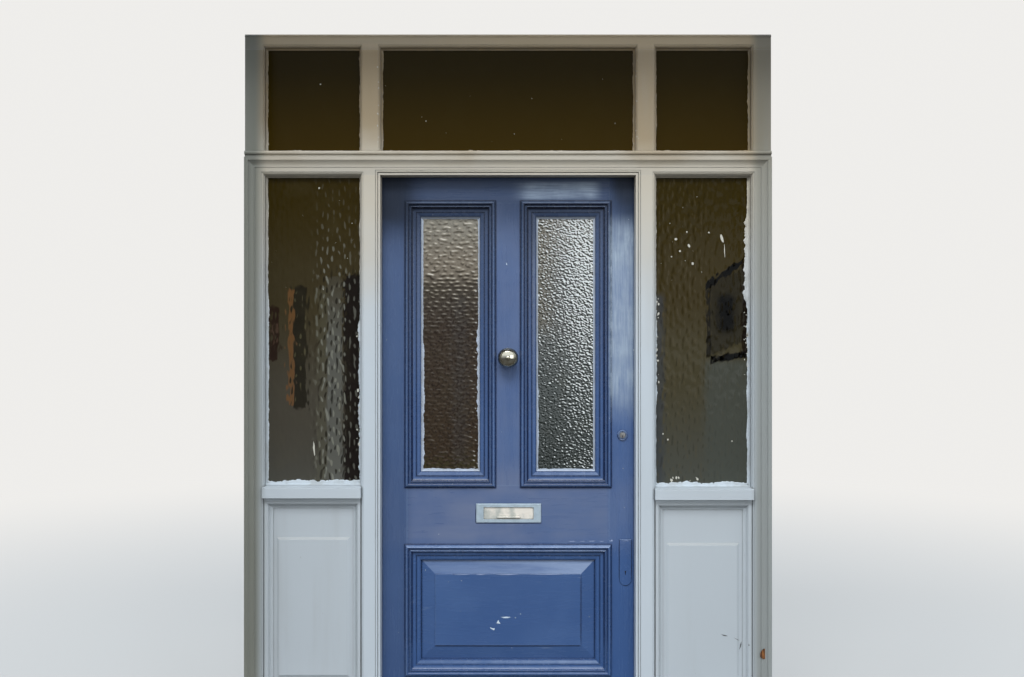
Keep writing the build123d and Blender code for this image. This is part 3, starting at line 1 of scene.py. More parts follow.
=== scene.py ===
# %% [markdown]
# # Painting and glazing a panelled front door
#
# The joinery comes from CAD: sixty pieces of frame, leaf, glass and
# ironmongery, already in place. What is left for Blender is what time and a
# paint brush did to them. The cells below start with camera and light, go on
# to paint, metal, glass and putty, and end with the chips and runs that make
# a painted door look lived with.

import math
import random

import bpy
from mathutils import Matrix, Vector, noise


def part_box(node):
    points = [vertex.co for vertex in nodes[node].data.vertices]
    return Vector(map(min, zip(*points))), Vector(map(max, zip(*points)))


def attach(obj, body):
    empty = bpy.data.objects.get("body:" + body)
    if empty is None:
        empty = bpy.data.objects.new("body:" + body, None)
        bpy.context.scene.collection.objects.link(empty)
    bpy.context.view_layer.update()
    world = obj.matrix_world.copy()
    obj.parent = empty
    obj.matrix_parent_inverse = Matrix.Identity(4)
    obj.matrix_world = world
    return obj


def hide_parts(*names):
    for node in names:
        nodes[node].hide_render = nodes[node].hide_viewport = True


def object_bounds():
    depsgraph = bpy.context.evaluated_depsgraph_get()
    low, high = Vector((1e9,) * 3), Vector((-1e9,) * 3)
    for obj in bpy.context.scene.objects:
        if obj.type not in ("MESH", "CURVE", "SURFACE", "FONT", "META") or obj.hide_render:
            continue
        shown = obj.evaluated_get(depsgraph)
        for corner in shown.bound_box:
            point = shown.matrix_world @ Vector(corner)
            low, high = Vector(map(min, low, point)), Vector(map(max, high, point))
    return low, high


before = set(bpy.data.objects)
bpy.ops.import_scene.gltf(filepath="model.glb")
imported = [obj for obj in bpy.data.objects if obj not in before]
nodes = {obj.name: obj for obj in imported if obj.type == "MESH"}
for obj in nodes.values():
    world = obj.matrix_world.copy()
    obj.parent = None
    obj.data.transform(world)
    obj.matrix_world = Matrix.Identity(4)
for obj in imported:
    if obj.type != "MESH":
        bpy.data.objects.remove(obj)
cad_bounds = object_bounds()

# %% [markdown]
# ## The camera
#
# A picture of a facade is usually taken from across the path, level, at eye
# height. The lens is worked out from the picture: its width in pixels, the
# distance, and how far a millimetre on the door moves a pixel. Level and
# square on, the uprights stay upright.

# %% Camera
EYE_HEIGHT = 1.448
CAMERA_DISTANCE = 3.26
CAMERA_SIDESTEP = 0.0139
LENS_MM = 32.96

camera_data = bpy.data.cameras.new("camera")
camera_data.sensor_width = 36
camera_data.lens = LENS_MM
camera = bpy.data.objects.new("camera", camera_data)
camera.location = (CAMERA_SIDESTEP, -CAMERA_DISTANCE, EYE_HEIGHT)
camera.rotation_euler = (math.radians(90), 0, 0)
bpy.context.scene.collection.objects.link(camera)
bpy.context.scene.camera = camera
print("camera at", tuple(camera.location), "lens", LENS_MM, "mm")

# %% [markdown]
# ## Small helpers for materials
#
# Every finish here is a node tree. Writing trees by hand is long, so `put`
# adds one node, sets what is fixed and links what comes from another node.
# `finish` starts a material with a Principled shader, which covers paint,
# metal and glass alike. A node's socket knows the tree that it stands in, so
# the helpers that work on sockets needn't be told.

# %% Start a finish and add nodes to it
def finish(name):
    """A new material with its tree and its Principled shader."""
    material = bpy.data.materials.new(name)
    material.use_nodes = True
    tree = material.node_tree
    tree.nodes.clear()
    output = tree.nodes.new("ShaderNodeOutputMaterial")
    shader = tree.nodes.new("ShaderNodeBsdfPrincipled")
    tree.links.new(shader.outputs[0], output.inputs[0])
    return material, tree, shader


def feed(node, inputs):
    """Fills a node's inputs; each may be a value or another node's socket."""
    for key, value in inputs.items():
        if isinstance(value, bpy.types.NodeSocket):
            node.id_data.links.new(value, node.inputs[key])
        else:
            node.inputs[key].default_value = value
    return node


def put(tree, kind, inputs=None, **settings):
    """Adds a node, with its settings and its inputs."""
    node = tree.nodes.new("ShaderNode" + kind)
    for key, value in settings.items():
        setattr(node, key, value)
    return feed(node, inputs or {})


def tree_of(*values):
    """The tree that the sockets among these values stand in."""
    return next(value.id_data for value in values if isinstance(value, bpy.types.NodeSocket))


print("nodes can be added")

# %% [markdown]
# ## Sums with masks and colours
#
# A mask is a number from 0 to 1 that says where something is: dust, wear, a
# chip. `between` makes a mask from a height, a slope or a noise, `product`
# keeps what several masks share, and `Coats` lays colour over colour by
# them, as a painter does. A mask may change over the door or be one number.

# %% Sums
GRAIN_ROUGHNESS = 0.55


def grain(tree, scale, stretch=(1, 1, 1), detail=4):
    """Noise in metres, drawn out along an axis by a small stretch value."""
    place = put(tree, "TexCoord").outputs["Object"]
    drawn = put(tree, "Mapping", {"Vector": place, "Scale": stretch})
    texture = put(tree, "TexNoise", {
        "Vector": drawn.outputs[0], "Scale": scale, "Detail": detail,
        "Roughness": GRAIN_ROUGHNESS,
    })
    return texture.outputs[0]


def between(value, low, high, out_low=0.0, out_high=1.0):
    """Maps a value onto a new range, smoothly and without going past its ends."""
    return put(tree_of(value), "MapRange", {
        "Value": value, "From Min": low, "From Max": high, "To Min": out_low, "To Max": out_high,
    }, interpolation_type="SMOOTHSTEP").outputs[0]


def maths(what, first, second=0.0):
    """One sum between two values or sockets."""
    return put(tree_of(first, second), "Math", {0: first, 1: second}, operation=what).outputs[0]


def product(first, *others):
    """Several masks at once: all must be there."""
    for other in others:
        first = maths("MULTIPLY", first, other)
    return first


def bump(height, strength, distance, normal=None):
    """Dents the shading by a height, on top of a normal that may be bent already."""
    inputs = {"Height": height, "Strength": strength, "Distance": distance}
    if normal is not None:
        inputs["Normal"] = normal
    return put(tree_of(height), "Bump", inputs).outputs[0]


MIX_AMOUNT, MIX_FIRST, MIX_SECOND, MIX_RESULT = 0, 6, 7, 2


class Coats:
    """Colours laid over each other, each as thick as its masks say."""

    def __init__(self, colour):
        self.colour = colour

    def lay(self, colour, *masks):
        """Lays a colour over what is there."""
        amount = product(*masks)
        under, over = (value if isinstance(value, bpy.types.NodeSocket) else (*value, 1)
                       for value in (self.colour, colour))
        mix = put(tree_of(amount, under, over), "Mix", {
            MIX_AMOUNT: amount, MIX_FIRST: under, MIX_SECOND: over,
        }, data_type="RGBA")
        self.colour = mix.outputs[MIX_RESULT]


print("sums and coats ready")

# %% [markdown]
# ## Places on the door
#
# Much of a door's weathering, and of the light and shade painted into its
# colour, goes by place: how high, how far from the middle, and whether a face
# leans back into the rain or forward into its own shade. Both come from the
# texture coordinates, which the CAD pieces share because they all have the
# door's own frame.

# %% Places and slopes
def place_on_door(tree):
    """How far to the right of the middle, and how high."""
    place = put(tree, "SeparateXYZ", {0: put(tree, "TexCoord").outputs["Object"]})
    return place.outputs["X"], place.outputs["Z"]


def upward_slope(tree):
    """Above 0 where a face leans back, below 0 where it leans forward."""
    return put(tree, "SeparateXYZ", {0: put(tree, "TexCoord").outputs["Normal"]}).outputs["Z"]


print("places ready")

# %% [markdown]
# ## The sky
#
# Gloss paint on a street door mirrors what stands in front of it: bright sky
# in every surface that leans back a little, the darker street in the upright
# ones, and darker ground in those that lean forward. A grey room would lose
# all three, so the sky here changes with height, and only the camera sees a
# plain pale backdrop.

# %% Sky
SKY_BY_HEIGHT = (
    (0.00, (0.07, 0.065, 0.06)), (0.45, (0.10, 0.095, 0.09)), (0.50, (0.24, 0.25, 0.26)),
    (0.55, (0.34, 0.36, 0.38)), (0.64, (0.86, 0.91, 0.96)), (0.80, (0.94, 0.98, 1.00)),
    (1.00, (0.70, 0.80, 0.95)),
)
SKY_STRENGTH = 1.55
BACKDROP = (0.86, 0.85, 0.83)


def graded(value, stops):
    """A colour by value, from (value, colour) stops that go from 0 to 1 or less."""
    ramp = put(tree_of(value), "ValToRGB", {0: value})
    elements = ramp.color_ramp.elements
    elements.remove(elements[1])
    elements[0].color = (*stops[0][1], 1)
    for position, colour in stops[1:]:
        elements.new(position).color = (*colour, 1)
    return ramp.outputs[0]


def make_world():
    """The sky as the door sees it, and the backdrop as the camera sees it."""
    world = bpy.data.worlds.new("sky")
    bpy.context.scene.world = world
    world.use_nodes = True
    tree = world.node_tree
    tree.nodes.clear()
    direction = put(tree, "TexCoord").outputs["Generated"]
    up = put(tree, "SeparateXYZ", {0: direction}).outputs["Z"]
    height = put(tree, "MapRange", {"Value": up, "From Min": -1.0, "From Max": 1.0}).outputs[0]
    sky = put(tree, "Background", {"Color": graded(height, SKY_BY_HEIGHT),
                                   "Strength": SKY_STRENGTH})
    pale = put(tree, "Background", {"Color": (*BACKDROP, 1), "Strength": 1.0})
    seen = put(tree, "LightPath").outputs["Is Camera Ray"]
    mix = put(tree, "MixShader", {0: seen, 1: sky.outputs[0], 2: pale.outputs[0]})
    put(tree, "OutputWorld", {0: mix.outputs[0]})


make_world()
bpy.context.scene.view_settings.view_transform = "Standard"
print("sky with", len(SKY_BY_HEIGHT), "colours from ground to zenith")

# %% [markdown]
# ## The floor
#
# The floor works the same way as the sky: pale to the camera, so that it
# fades into the backdrop without a horizon, and dark in reflections, as a
# path is.


# %% Floor
def board(name, corners, material):
    """A single flat face, for things that are only part of the studio."""
    mesh = bpy.data.meshes.new(name)
    mesh.from_pydata(corners, [], [(0, 1, 2, 3)])
    mesh.materials.append(material)
    flat = bpy.data.objects.new(name, mesh)
    bpy.context.scene.collection.objects.link(flat)
    return flat


def floor_finish():
    """Pale near the door, fading into the backdrop; dark in anything that mirrors it."""
    material, tree, shader = finish("pale_floor")
    feed(shader, {"Base Color": (0.42, 0.415, 0.40, 1), "Roughness": 0.9})
    output = next(node for node in tree.nodes if node.type == "OUTPUT_MATERIAL")
    dark = put(tree, "BsdfDiffuse", {"Color": (0.10, 0.095, 0.09, 1)})
    backdrop = put(tree, "Emission", {"Color": (*BACKDROP, 1), "Strength": 1.0})
    place = put(tree, "TexCoord").outputs["Object"]
    away = put(tree, "VectorMath", {0: place}, operation="LENGTH").outputs["Value"]
    fade = put(tree, "MixShader", {
        0: between(away, 2.0, 7.0), 1: shader.outputs[0], 2: backdrop.outputs[0],
    })
    seen = put(tree, "LightPath").outputs["Is Camera Ray"]
    both_floors = put(tree, "MixShader", {0: seen, 1: dark.outputs[0], 2: fade.outputs[0]})
    tree.links.new(both_floors.outputs[0], output.inputs[0])
    return material


FLOOR_REACH = 60
FLOOR_LEVEL = -0.001
board("floor", [(across * FLOOR_REACH, away * FLOOR_REACH, FLOOR_LEVEL)
                for across, away in ((-1, -1), (1, -1), (1, 1), (-1, 1))], floor_finish())
print("floor ready")

# %% [markdown]
# ## Boards that aren't seen
#
# A front door stands back from the rain, so its top and its outer edges see
# less of the sky than its middle. A photographer would say flag for a board
# that keeps light off, and here are three: one over the head and one beside
# each outer jamb. The camera doesn't see them.


# %% Flags
def plain_finish(name, colour, roughness):
    """One colour all over."""
    material, tree, shader = finish(name)
    feed(shader, {"Base Color": (*colour, 1), "Roughness": roughness})
    return material


HEAD_FLAG = ((-1.5, -0.62, 2.80), (1.5, -0.62, 2.80), (1.5, -0.06, 2.76), (-1.5, -0.06, 2.76))
FLAG_SIDESTEP = 0.985
FLAG_FOOT, FLAG_TOP = 0.4, 2.64
flag_brown = plain_finish("flag_brown", (0.17, 0.125, 0.08), 0.9)
flag_grey = plain_finish("flag_grey", (0.22, 0.20, 0.17), 0.9)
flags = [board("flag_over", HEAD_FLAG, flag_brown)]
for side, near, far in ((-1, -0.12, -0.60), (1, -0.20, -0.55)):
    x = side * FLAG_SIDESTEP
    flags.append(board(f"flag_beside_{side + 1}", [
        (x, near, FLAG_FOOT), (x, far, FLAG_FOOT), (x, far, FLAG_TOP), (x, near, FLAG_TOP),
    ], flag_grey))
for flag in flags:
    flag.visible_camera = False
print(len(flags), "flags ready")

# %% [markdown]
# ## Two soft lamps
#
# The sky alone lights a door so evenly that its mouldings go flat. A wide
# lamp high in front gives the light a direction, so that every bead and
# fielded edge has a lit side and a shaded one. A small weak one at the right
# puts a sheen on the lock stile.


# %% Lamps
def soft_lamp(name, place, target, size, power, colour):
    """A rectangular soft lamp, turned towards a point."""
    data = bpy.data.lights.new(name, "AREA")
    data.shape = "RECTANGLE"
    data.size, data.size_y = size
    data.energy = power
    data.color = colour
    lamp = bpy.data.objects.new(name, data)
    lamp.location = place
    aim = Vector(target) - Vector(place)
    lamp.rotation_euler = aim.to_track_quat("-Z", "Y").to_euler()
    bpy.context.scene.collection.objects.link(lamp)
    print(name, power, "W")
    return lamp


soft_lamp("sky_lamp", place=(-0.6, -5.2, 7.2), target=(0, 0, 1.1), size=(4.2, 2.6), power=330,
          colour=(0.94, 0.97, 1.0))
soft_lamp("side_lamp", place=(1.75, -4.4, 1.85), target=(0.4, 0, 1.5), size=(1.5, 1.3), power=17,
          colour=(0.93, 0.98, 1.0))

# %% [markdown]
# ## Edges, quirks and crests
#
# Paint wears off an arris first and dirt stays longest in a quirk, while an
# arris also catches the light and a quirk lies in shade. So three masks find
# them, and the colours they carry are worn paint and dirt together with painted
# highlight and painted shade. The Bevel node rounds the shading of each edge,
# and where the rounded normal leaves the true one there is an edge. Ambient
# occlusion finds the quirks, and the same test turned inside out finds the
# crests, because rays sent into a thin bead soon leave it again.

# %% Edge and corner masks
EDGE_ROUNDING = 0.0012
MASK_SAMPLES = 5


def rounded_normal(tree, radius=EDGE_ROUNDING):
    """A normal that turns an edge in a small radius."""
    return put(tree, "Bevel", {"Radius": radius}, samples=MASK_SAMPLES).outputs[0]


def edge_mask(tree, normal):
    """Near 1 along an arris, 0 on the flat."""
    true_normal = put(tree, "NewGeometry").outputs["True Normal"]
    match = put(tree, "VectorMath", {0: normal, 1: true_normal}, operation="DOT_PRODUCT")
    return between(match.outputs["Value"], 0.86, 0.99, 1.0, 0.0)


def corner_mask(tree, distance, open_enough=0.9):
    """Near 1 down in a quirk or an inside corner, 0 in the open."""
    shade = put(tree, "AmbientOcclusion", {"Distance": distance}, samples=MASK_SAMPLES)
    return between(shade.outputs["AO"], 0.35, open_enough, 1.0, 0.0)


def crest_mask(tree, distance):
    """Near 1 on a bead or an arris, 0 on the flat."""
    room = put(tree, "AmbientOcclusion", {"Distance": distance}, samples=MASK_SAMPLES,
               inside=True, only_local=True)
    return between(room.outputs["AO"], 0.50, 0.85, 1.0, 0.0)


def scattered_chips(tree, scale, cutoff):
    """Small irregular islands where the top coat is gone."""
    broad = grain(tree, scale, detail=2)
    fine = grain(tree, scale * 4, detail=3)
    return between(maths("ADD", broad, product(fine, 0.3)), cutoff, cutoff + 0.015)


print("masks ready")

# %% [markdown]
# ## Painted shade and sheen on the leaf
#
# Old gloss paint on a door isn't one colour, and two painted coats follow its
# place alone: painted shade darkens the top, most of all in the two corners,
# and a painted sheen lightens the lock stile and the right half of the top
# rail, where gloss paint mirrors bright sky. Each is a mask by height and by
# distance from the middle.


# %% Painted shade at the top, and painted sheen
def painted_sheen_mask(tree, x, z, stretch):
    """Where a sheen is painted: down the lock stile, and on the top rail."""
    stile = product(
        between(x, 0.350, 0.362), between(z, 1.12, 1.32),
        between(z, 1.80, 1.90, 1.0, 0.0),
    )
    rail = product(
        between(x, 0.00, 0.10), between(x, 0.29, 0.34, 1.0, 0.0),
        between(z, 1.93, 1.95), between(z, 1.99, 2.01, 1.0, 0.0), 0.7,
    )
    fine = grain(tree, 150, tuple(side * 0.6 if side < 1 else 1 for side in stretch), detail=6)
    broad = grain(tree, 9, detail=4)
    streaks = product(between(fine, 0.30, 0.65, 0.55, 1.0),
                      between(broad, 0.35, 0.60, 0.65, 1.0))
    return product(maths("MAXIMUM", stile, rail), streaks)


def head_shade(tree, x, z):
    """The dark top of the leaf, deepest in its two corners."""
    wander = product(grain(tree, 5, detail=3), 0.2)
    rise = between(maths("ADD", z, wander), 1.80, 2.05)
    corner = maths("MAXIMUM", between(x, -0.25, -0.42), between(x, 0.33, 0.41))
    return product(rise, between(corner, 0.0, 1.0, 0.60, 0.95))


print("shade and polish ready")

# %% [markdown]
# ## Light and dark lines of the mouldings
#
# A bolection moulding is read by its lines: lit beads, dark quirks. Light
# alone draws them too softly, so the lines are painted into the colour:
# painted highlights on the beads and painted shade between them, with some
# worn paint and dirt. A tone follows the distance in from the moulding's
# outer edge, which the masks work out from the box of each one.

# %% Tone of the mouldings
SECTION_WIDTH = 0.058
TONE_BY_DISTANCE = (
    (0.000, 0.00), (0.003, 0.04), (0.0052, 0.60), (0.0085, 0.82), (0.0112, 0.50), (0.0135, 0.06),
    (0.016, 0.10), (0.0188, 0.70), (0.0215, 0.80), (0.0243, 0.10), (0.0285, 0.00), (0.032, 0.52),
    (0.036, 0.64), (0.0395, 0.22), (0.043, 0.20), (0.047, 0.42), (0.053, 0.46), (0.058, 0.20),
)


def distance_inside(value, low, high):
    """How far a place lies within two ends; below 0 outside them."""
    away = maths("ABSOLUTE", maths("SUBTRACT", value, (low + high) / 2))
    return maths("SUBTRACT", (high - low) / 2, away)


def moulding_tone(x, z):
    """Painted shade in the quirks and painted highlight on the beads, by the distance in from the
    outer edge.
    """
    depths = []
    for name in ("bolection_left", "bolection_right", "bolection_lower"):
        low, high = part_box(name)
        depths.append(maths("MINIMUM", distance_inside(x, low.x, high.x),
                            distance_inside(z, low.z, high.z)))
    left, right, lower = depths
    inside = maths("MAXIMUM", maths("MAXIMUM", left, right), lower)
    return graded(maths("DIVIDE", inside, SECTION_WIDTH),
                  [(distance / SECTION_WIDTH, (tone, tone, tone))
                   for distance, tone in TONE_BY_DISTANCE])


print("moulding tone over", SECTION_WIDTH * 1000, "mm")

# %% [markdown]
# ## Paint on the leaf
#
# The brush leaves fine ridges along the grain, and a pale veil, weathered
# paint with a painted sheen, greys the blue in patches. Slopes that lean back
# are painted lighter and slopes that lean forward darker, as the sky would
# light them; the left stile is painted darker for its shade; quirks are
# darkened with dirt and painted shade; and every bead and arris is lighter,
# worn paint and painted highlight together. One function makes that paint,
# coat by coat, and one call turns the brush for the rails. The mouldings have
# more contrast than the flat members, so they get their tone of painted
# highlight and shade on top.

# %% Colours of the leaf
DEEP_BLUE = (0.043, 0.100, 0.256)
CLEAR_BLUE = (0.056, 0.120, 0.286)
VEIL_BLUE = (0.152, 0.190, 0.305)
PAINTED_SHEEN_BLUE = (0.35, 0.43, 0.53)
SKY_LIT_BLUE = (0.24, 0.32, 0.49)
LEFT_SHADE_BLUE = (0.058, 0.088, 0.165)
CREST_BLUE = (0.20, 0.29, 0.47)
QUIRK_BLUE = (0.004, 0.010, 0.042)
LINE_BLUE = (0.005, 0.015, 0.062)
SHADED_BLUE = (0.026, 0.032, 0.046)
PALE_UNDERCOAT = (0.58, 0.62, 0.66)


def pale_veil_mask(tree, x, z, streaks, strength):
    """Where a pale veil greys the blue, weathered paint with a painted sheen: in patches, least at
    the foot and at the hinges.
    """
    return product(between(grain(tree, 6, detail=5), 0.25, 0.62, 0.55, 1.0),
                   between(streaks, 0.3, 0.65, 0.80, 1.0),
                   between(z, 0.66, 0.76, 0.08, 0.95),
                   between(z, 0.92, 1.05, 1.0, 0.52),
                   between(x, 0.0, 0.25, 1.0, 0.75),
                   between(x, -0.37, -0.34, 0.35, 1.0),
                   between(x, 0.345, 0.36, 1.0, 0.6), strength)


def painted_sky_on_slopes(slope, x, z, streaks, tone):
    """Painted light on faces that lean back, as the sky lights them: more to the right, less high
    up and in the quirks.
    """
    return product(between(slope, 0.05, 0.16), between(streaks, 0.3, 0.6, 0.45, 1.0),
                   between(x, -0.30, 0.30, 0.40, 1.0), between(z, 0.75, 1.0, 0.9, 0.5),
                   1.0 if tone is None else between(tone, 0.1, 0.6, 0.15, 1.0))


print("leaf colours ready")


# %% Leaf paint
def leaf_paint(name, stretch, chips=0.95, brush=0.22, worn_and_lit=0.35, moulded=False):
    """Brushed blue gloss, with the brush drawn along one direction."""
    material, tree, shader = finish(name)
    x, z = place_on_door(tree)
    slope = upward_slope(tree)
    normal = rounded_normal(tree)
    strokes = grain(tree, 80, stretch, detail=5)
    streaks = grain(tree, 42, stretch, detail=4)
    tone = moulding_tone(x, z) if moulded else None
    pale_veil = pale_veil_mask(tree, x, z, streaks, 0.35 if moulded else 1.0)

    paint = Coats(DEEP_BLUE)
    paint.lay(CLEAR_BLUE, between(grain(tree, 3.2, detail=3), 0.35, 0.65))
    # The pale veil: weathered paint with a painted sheen.
    paint.lay(VEIL_BLUE, pale_veil)
    # Painted shade down the left stile.
    paint.lay(LEFT_SHADE_BLUE, between(x, -0.33, -0.37, 0.0, 0.5))
    # Pale streaks along the brush: a painted sheen.
    paint.lay(PAINTED_SHEEN_BLUE, between(grain(tree, 55, stretch, detail=6), 0.66, 0.74),
              between(grain(tree, 4, detail=2), 0.45, 0.6), 0.35)
    # On the mouldings: dark lines of painted shade with some dirt, more painted shade higher up,
    # and painted highlights with some wear on the beads.
    if moulded:
        paint.lay(LINE_BLUE, between(tone, 0.5, 0.0), between(z, 0.33, 0.40, 0.45, 1.0),
                  between(z, 0.75, 1.0, 0.78, 0.95))
        paint.lay(SHADED_BLUE, between(z, 1.05, 1.85, 0.0, 0.45))
        paint.lay(CREST_BLUE, between(tone, 0.60, 0.90, 0.0, 0.75))
    # Painted light on slopes that lean back.
    paint.lay(SKY_LIT_BLUE, painted_sky_on_slopes(slope, x, z, streaks, tone))
    # Painted shade on slopes that lean forward, deepest high up.
    paint.lay(QUIRK_BLUE, between(slope, -0.22, -0.45), between(z, 1.6, 1.9, 0.35, 0.85))
    # Lighter beads and arrises: worn paint and a painted highlight.
    if worn_and_lit:
        paint.lay(CREST_BLUE, crest_mask(tree, 0.006), between(streaks, 0.3, 0.6, 0.4, 1.0),
                  worn_and_lit)
    shade = head_shade(tree, x, z)
    paint.lay(SHADED_BLUE, shade)
    # Painted sheen on the lock stile and the top rail.
    paint.lay(PAINTED_SHEEN_BLUE, painted_sheen_mask(tree, x, z, stretch))
    # Darker quirks and inside corners: dirt and painted shade.
    paint.lay(QUIRK_BLUE, maths("MAXIMUM", corner_mask(tree, 0.009, 0.8), corner_mask(tree, 0.003)),
              between(z, 0.25, 0.38, 0.45, 1.0), 0.25 if moulded else 0.95)
    paint.lay(PALE_UNDERCOAT, scattered_chips(tree, 55, chips))

    ridges = bump(strokes, brush, 0.0005, normal)
    feed(shader, {
        "Base Color": paint.colour,
        "Roughness": maths("ADD", between(strokes, 0.25, 0.75, 0.19, 0.31), product(pale_veil, 0.10)),
        "Normal": bump(grain(tree, 18, detail=2), brush, 0.002, ridges),
        "Specular IOR Level": between(shade, 0.0, 0.95, 0.5, 0.06),
        "IOR": 1.5,
    })
    print(name, "has", len(tree.nodes), "nodes")
    return material


# The brush's direction: noise is drawn out along the axis with the small value.
UPRIGHT = (1, 1, 0.10)
LEVEL = (0.10, 1, 1)
leaf_upright = leaf_paint("leaf_paint_upright", UPRIGHT)
leaf_level = leaf_paint("leaf_paint_level", LEVEL)
leaf_mouldings = leaf_paint("leaf_paint_mouldings", (0.4, 0.4, 0.4), chips=0.97, brush=0.08,
                            worn_and_lit=0, moulded=True)
leaf_small = leaf_paint("leaf_paint_small", (0.5, 0.5, 0.5), chips=0.97, brush=0.08, worn_and_lit=0)

# %% [markdown]
# ## Paint on the frame
#
# The frame's off-white has had a harder life. The lower part is a clean, cool
# white. Upwards it turns warm and dark, partly yellowed paint and soot and
# partly painted shade and painted warm light, and the head itself is painted
# lighter again. The outer edges are painted darker for the shade beside them.
# So the colour is led by height and by the distance from the middle, and every
# quirk is darkened with dirt and painted shade. The putty was painted in the
# same go, so it borrows the same colours.

# %% Off-white by place
COOL_WHITE = (0.575, 0.635, 0.685)
YELLOWED_AND_SHADED = (0.585, 0.53, 0.43)
SOOT_AND_SHADE_BROWN = (0.41, 0.315, 0.190)
HEAD_LIT_YELLOW = (0.60, 0.48, 0.31)
SIDE_SHADE_GREY = (0.205, 0.210, 0.178)


def weathered_and_shaded_white(tree):
    """The off-white by place: cool below, yellow above, grey at the outer edges, the warm top and
    grey edges partly painted shade.
    """
    x, z = place_on_door(tree)
    wander = product(maths("SUBTRACT", grain(tree, 2.5, detail=3), 0.5), 0.5)
    rise = maths("ADD", z, wander)
    white = Coats(COOL_WHITE)
    # Warmer and darker upwards: yellowed paint and soot with painted shade and painted warm light.
    white.lay(YELLOWED_AND_SHADED, between(rise, 1.35, 2.05))
    white.lay(SOOT_AND_SHADE_BROWN, between(rise, 2.05, 2.2))
    # The head painted lighter again: its own yellow with painted light.
    white.lay(HEAD_LIT_YELLOW, between(z, 2.44, 2.47))
    # Painted shade beside the outer jambs.
    leftwards = between(x, -0.885, -0.83, 1.0, 0.0)
    rightwards = between(x, 0.835, 0.875, 0.0, 0.72)
    white.lay(SIDE_SHADE_GREY, maths("ADD", leftwards, rightwards))
    return white.colour


print("off-white ready")

# %% Frame paint
GREY_GRIME_AND_SHADE = (0.36, 0.37, 0.36)
QUIRK_GREY = (0.13, 0.13, 0.12)
EDGE_WHITE = (0.70, 0.74, 0.78)
SPECK_BROWN = (0.20, 0.17, 0.13)


def frame_paint(name, stretch, dulled=0.0, slope_shade=0.0):
    """Brushed off-white over old timber."""
    material, tree, shader = finish(name)
    normal = rounded_normal(tree)
    strokes = grain(tree, 80, stretch, detail=5)
    grime = product(between(grain(tree, 9, stretch, detail=6), 0.45, 0.8), 0.3)
    paint = Coats(weathered_and_shaded_white(tree))
    paint.lay(GREY_GRIME_AND_SHADE, maths("ADD", grime, dulled))
    # Painted shade on faces that lean back.
    if slope_shade:
        paint.lay(GREY_GRIME_AND_SHADE, between(upward_slope(tree), 0.03, 0.12, 0.0, slope_shade))
    # Darker quirks: dirt and painted shade.
    paint.lay(QUIRK_GREY, maths("MAXIMUM", corner_mask(tree, 0.009), corner_mask(tree, 0.003)),
              0.65)
    # Lighter arrises: worn paint and a painted highlight.
    paint.lay(EDGE_WHITE, edge_mask(tree, normal), 0.25)
    paint.lay(SPECK_BROWN, scattered_chips(tree, 70, 0.96))
    feed(shader, {
        "Base Color": paint.colour, "Roughness": between(strokes, 0.25, 0.75, 0.38, 0.55),
        "Normal": bump(strokes, 0.3, 0.0007, normal), "IOR": 1.48,
    })
    print(name, "has", len(tree.nodes), "nodes")
    return material


frame_upright = frame_paint("frame_paint_upright", UPRIGHT)
frame_level = frame_paint("frame_paint_level", LEVEL, dulled=0.06)
frame_panels = frame_paint("frame_paint_panels", UPRIGHT, dulled=0.25, slope_shade=0.6)

# %% [markdown]
# ## Metals
#
# The knob and latch are old brass, dulled to olive; the letter plate is
# satin aluminium, rubbed along its length. A metal's colour is all in its
# reflection, so the base colour goes into a metallic shader, wholly for brass,
# steel and iron and in part for the letter plate and its flap. Roughness and
# fine scratches vary, and so does the colour, with dull patches and with
# corners darkened by soot and painted shade.


# %% Metal finishes
METAL_CORNER_SOOT_AND_SHADE = (0.035, 0.033, 0.030)


def metal(name, colour, dull_colour, roughness, stretch=(1, 1, 1), corner_reach=0.004, metallic=1.0,
          patch=60, relief=None):
    """Metal with tarnish in patches, soot and painted shade in its corners and rubbing marks one
    way.
    """
    material, tree, shader = finish(name)
    rubbed = grain(tree, 400, stretch, detail=4)
    skin = Coats(colour)
    skin.lay(dull_colour, between(grain(tree, patch, detail=5), 0.4, 0.65))
    # Darker corners: soot and painted shade.
    skin.lay(METAL_CORNER_SOOT_AND_SHADE, corner_mask(tree, corner_reach), 0.9)
    normal = bump(rubbed, 0.15, 0.0002, rounded_normal(tree, 0.0005))
    if relief:
        normal = bump(relief(tree), 1.0, 1.0, normal)
    feed(shader, {
        "Base Color": skin.colour, "Metallic": metallic,
        "Roughness": between(rubbed, 0.3, 0.7, *roughness), "Normal": normal,
    })
    return material


def enamel(name):
    """Dark stoved enamel on the latch's case, rubbed a little at its edges."""
    material, tree, shader = finish(name)
    normal = rounded_normal(tree, 0.001)
    mottle = between(grain(tree, 180, detail=4), 0.3, 0.7)
    skin = Coats((0.030, 0.026, 0.021))
    skin.lay((0.055, 0.048, 0.040), mottle)
    skin.lay((0.25, 0.23, 0.20), edge_mask(tree, normal), 0.6)
    feed(shader, {
        "Base Color": skin.colour, "Roughness": between(mottle, 0, 1, 0.28, 0.42),
        "Normal": normal,
    })
    return material


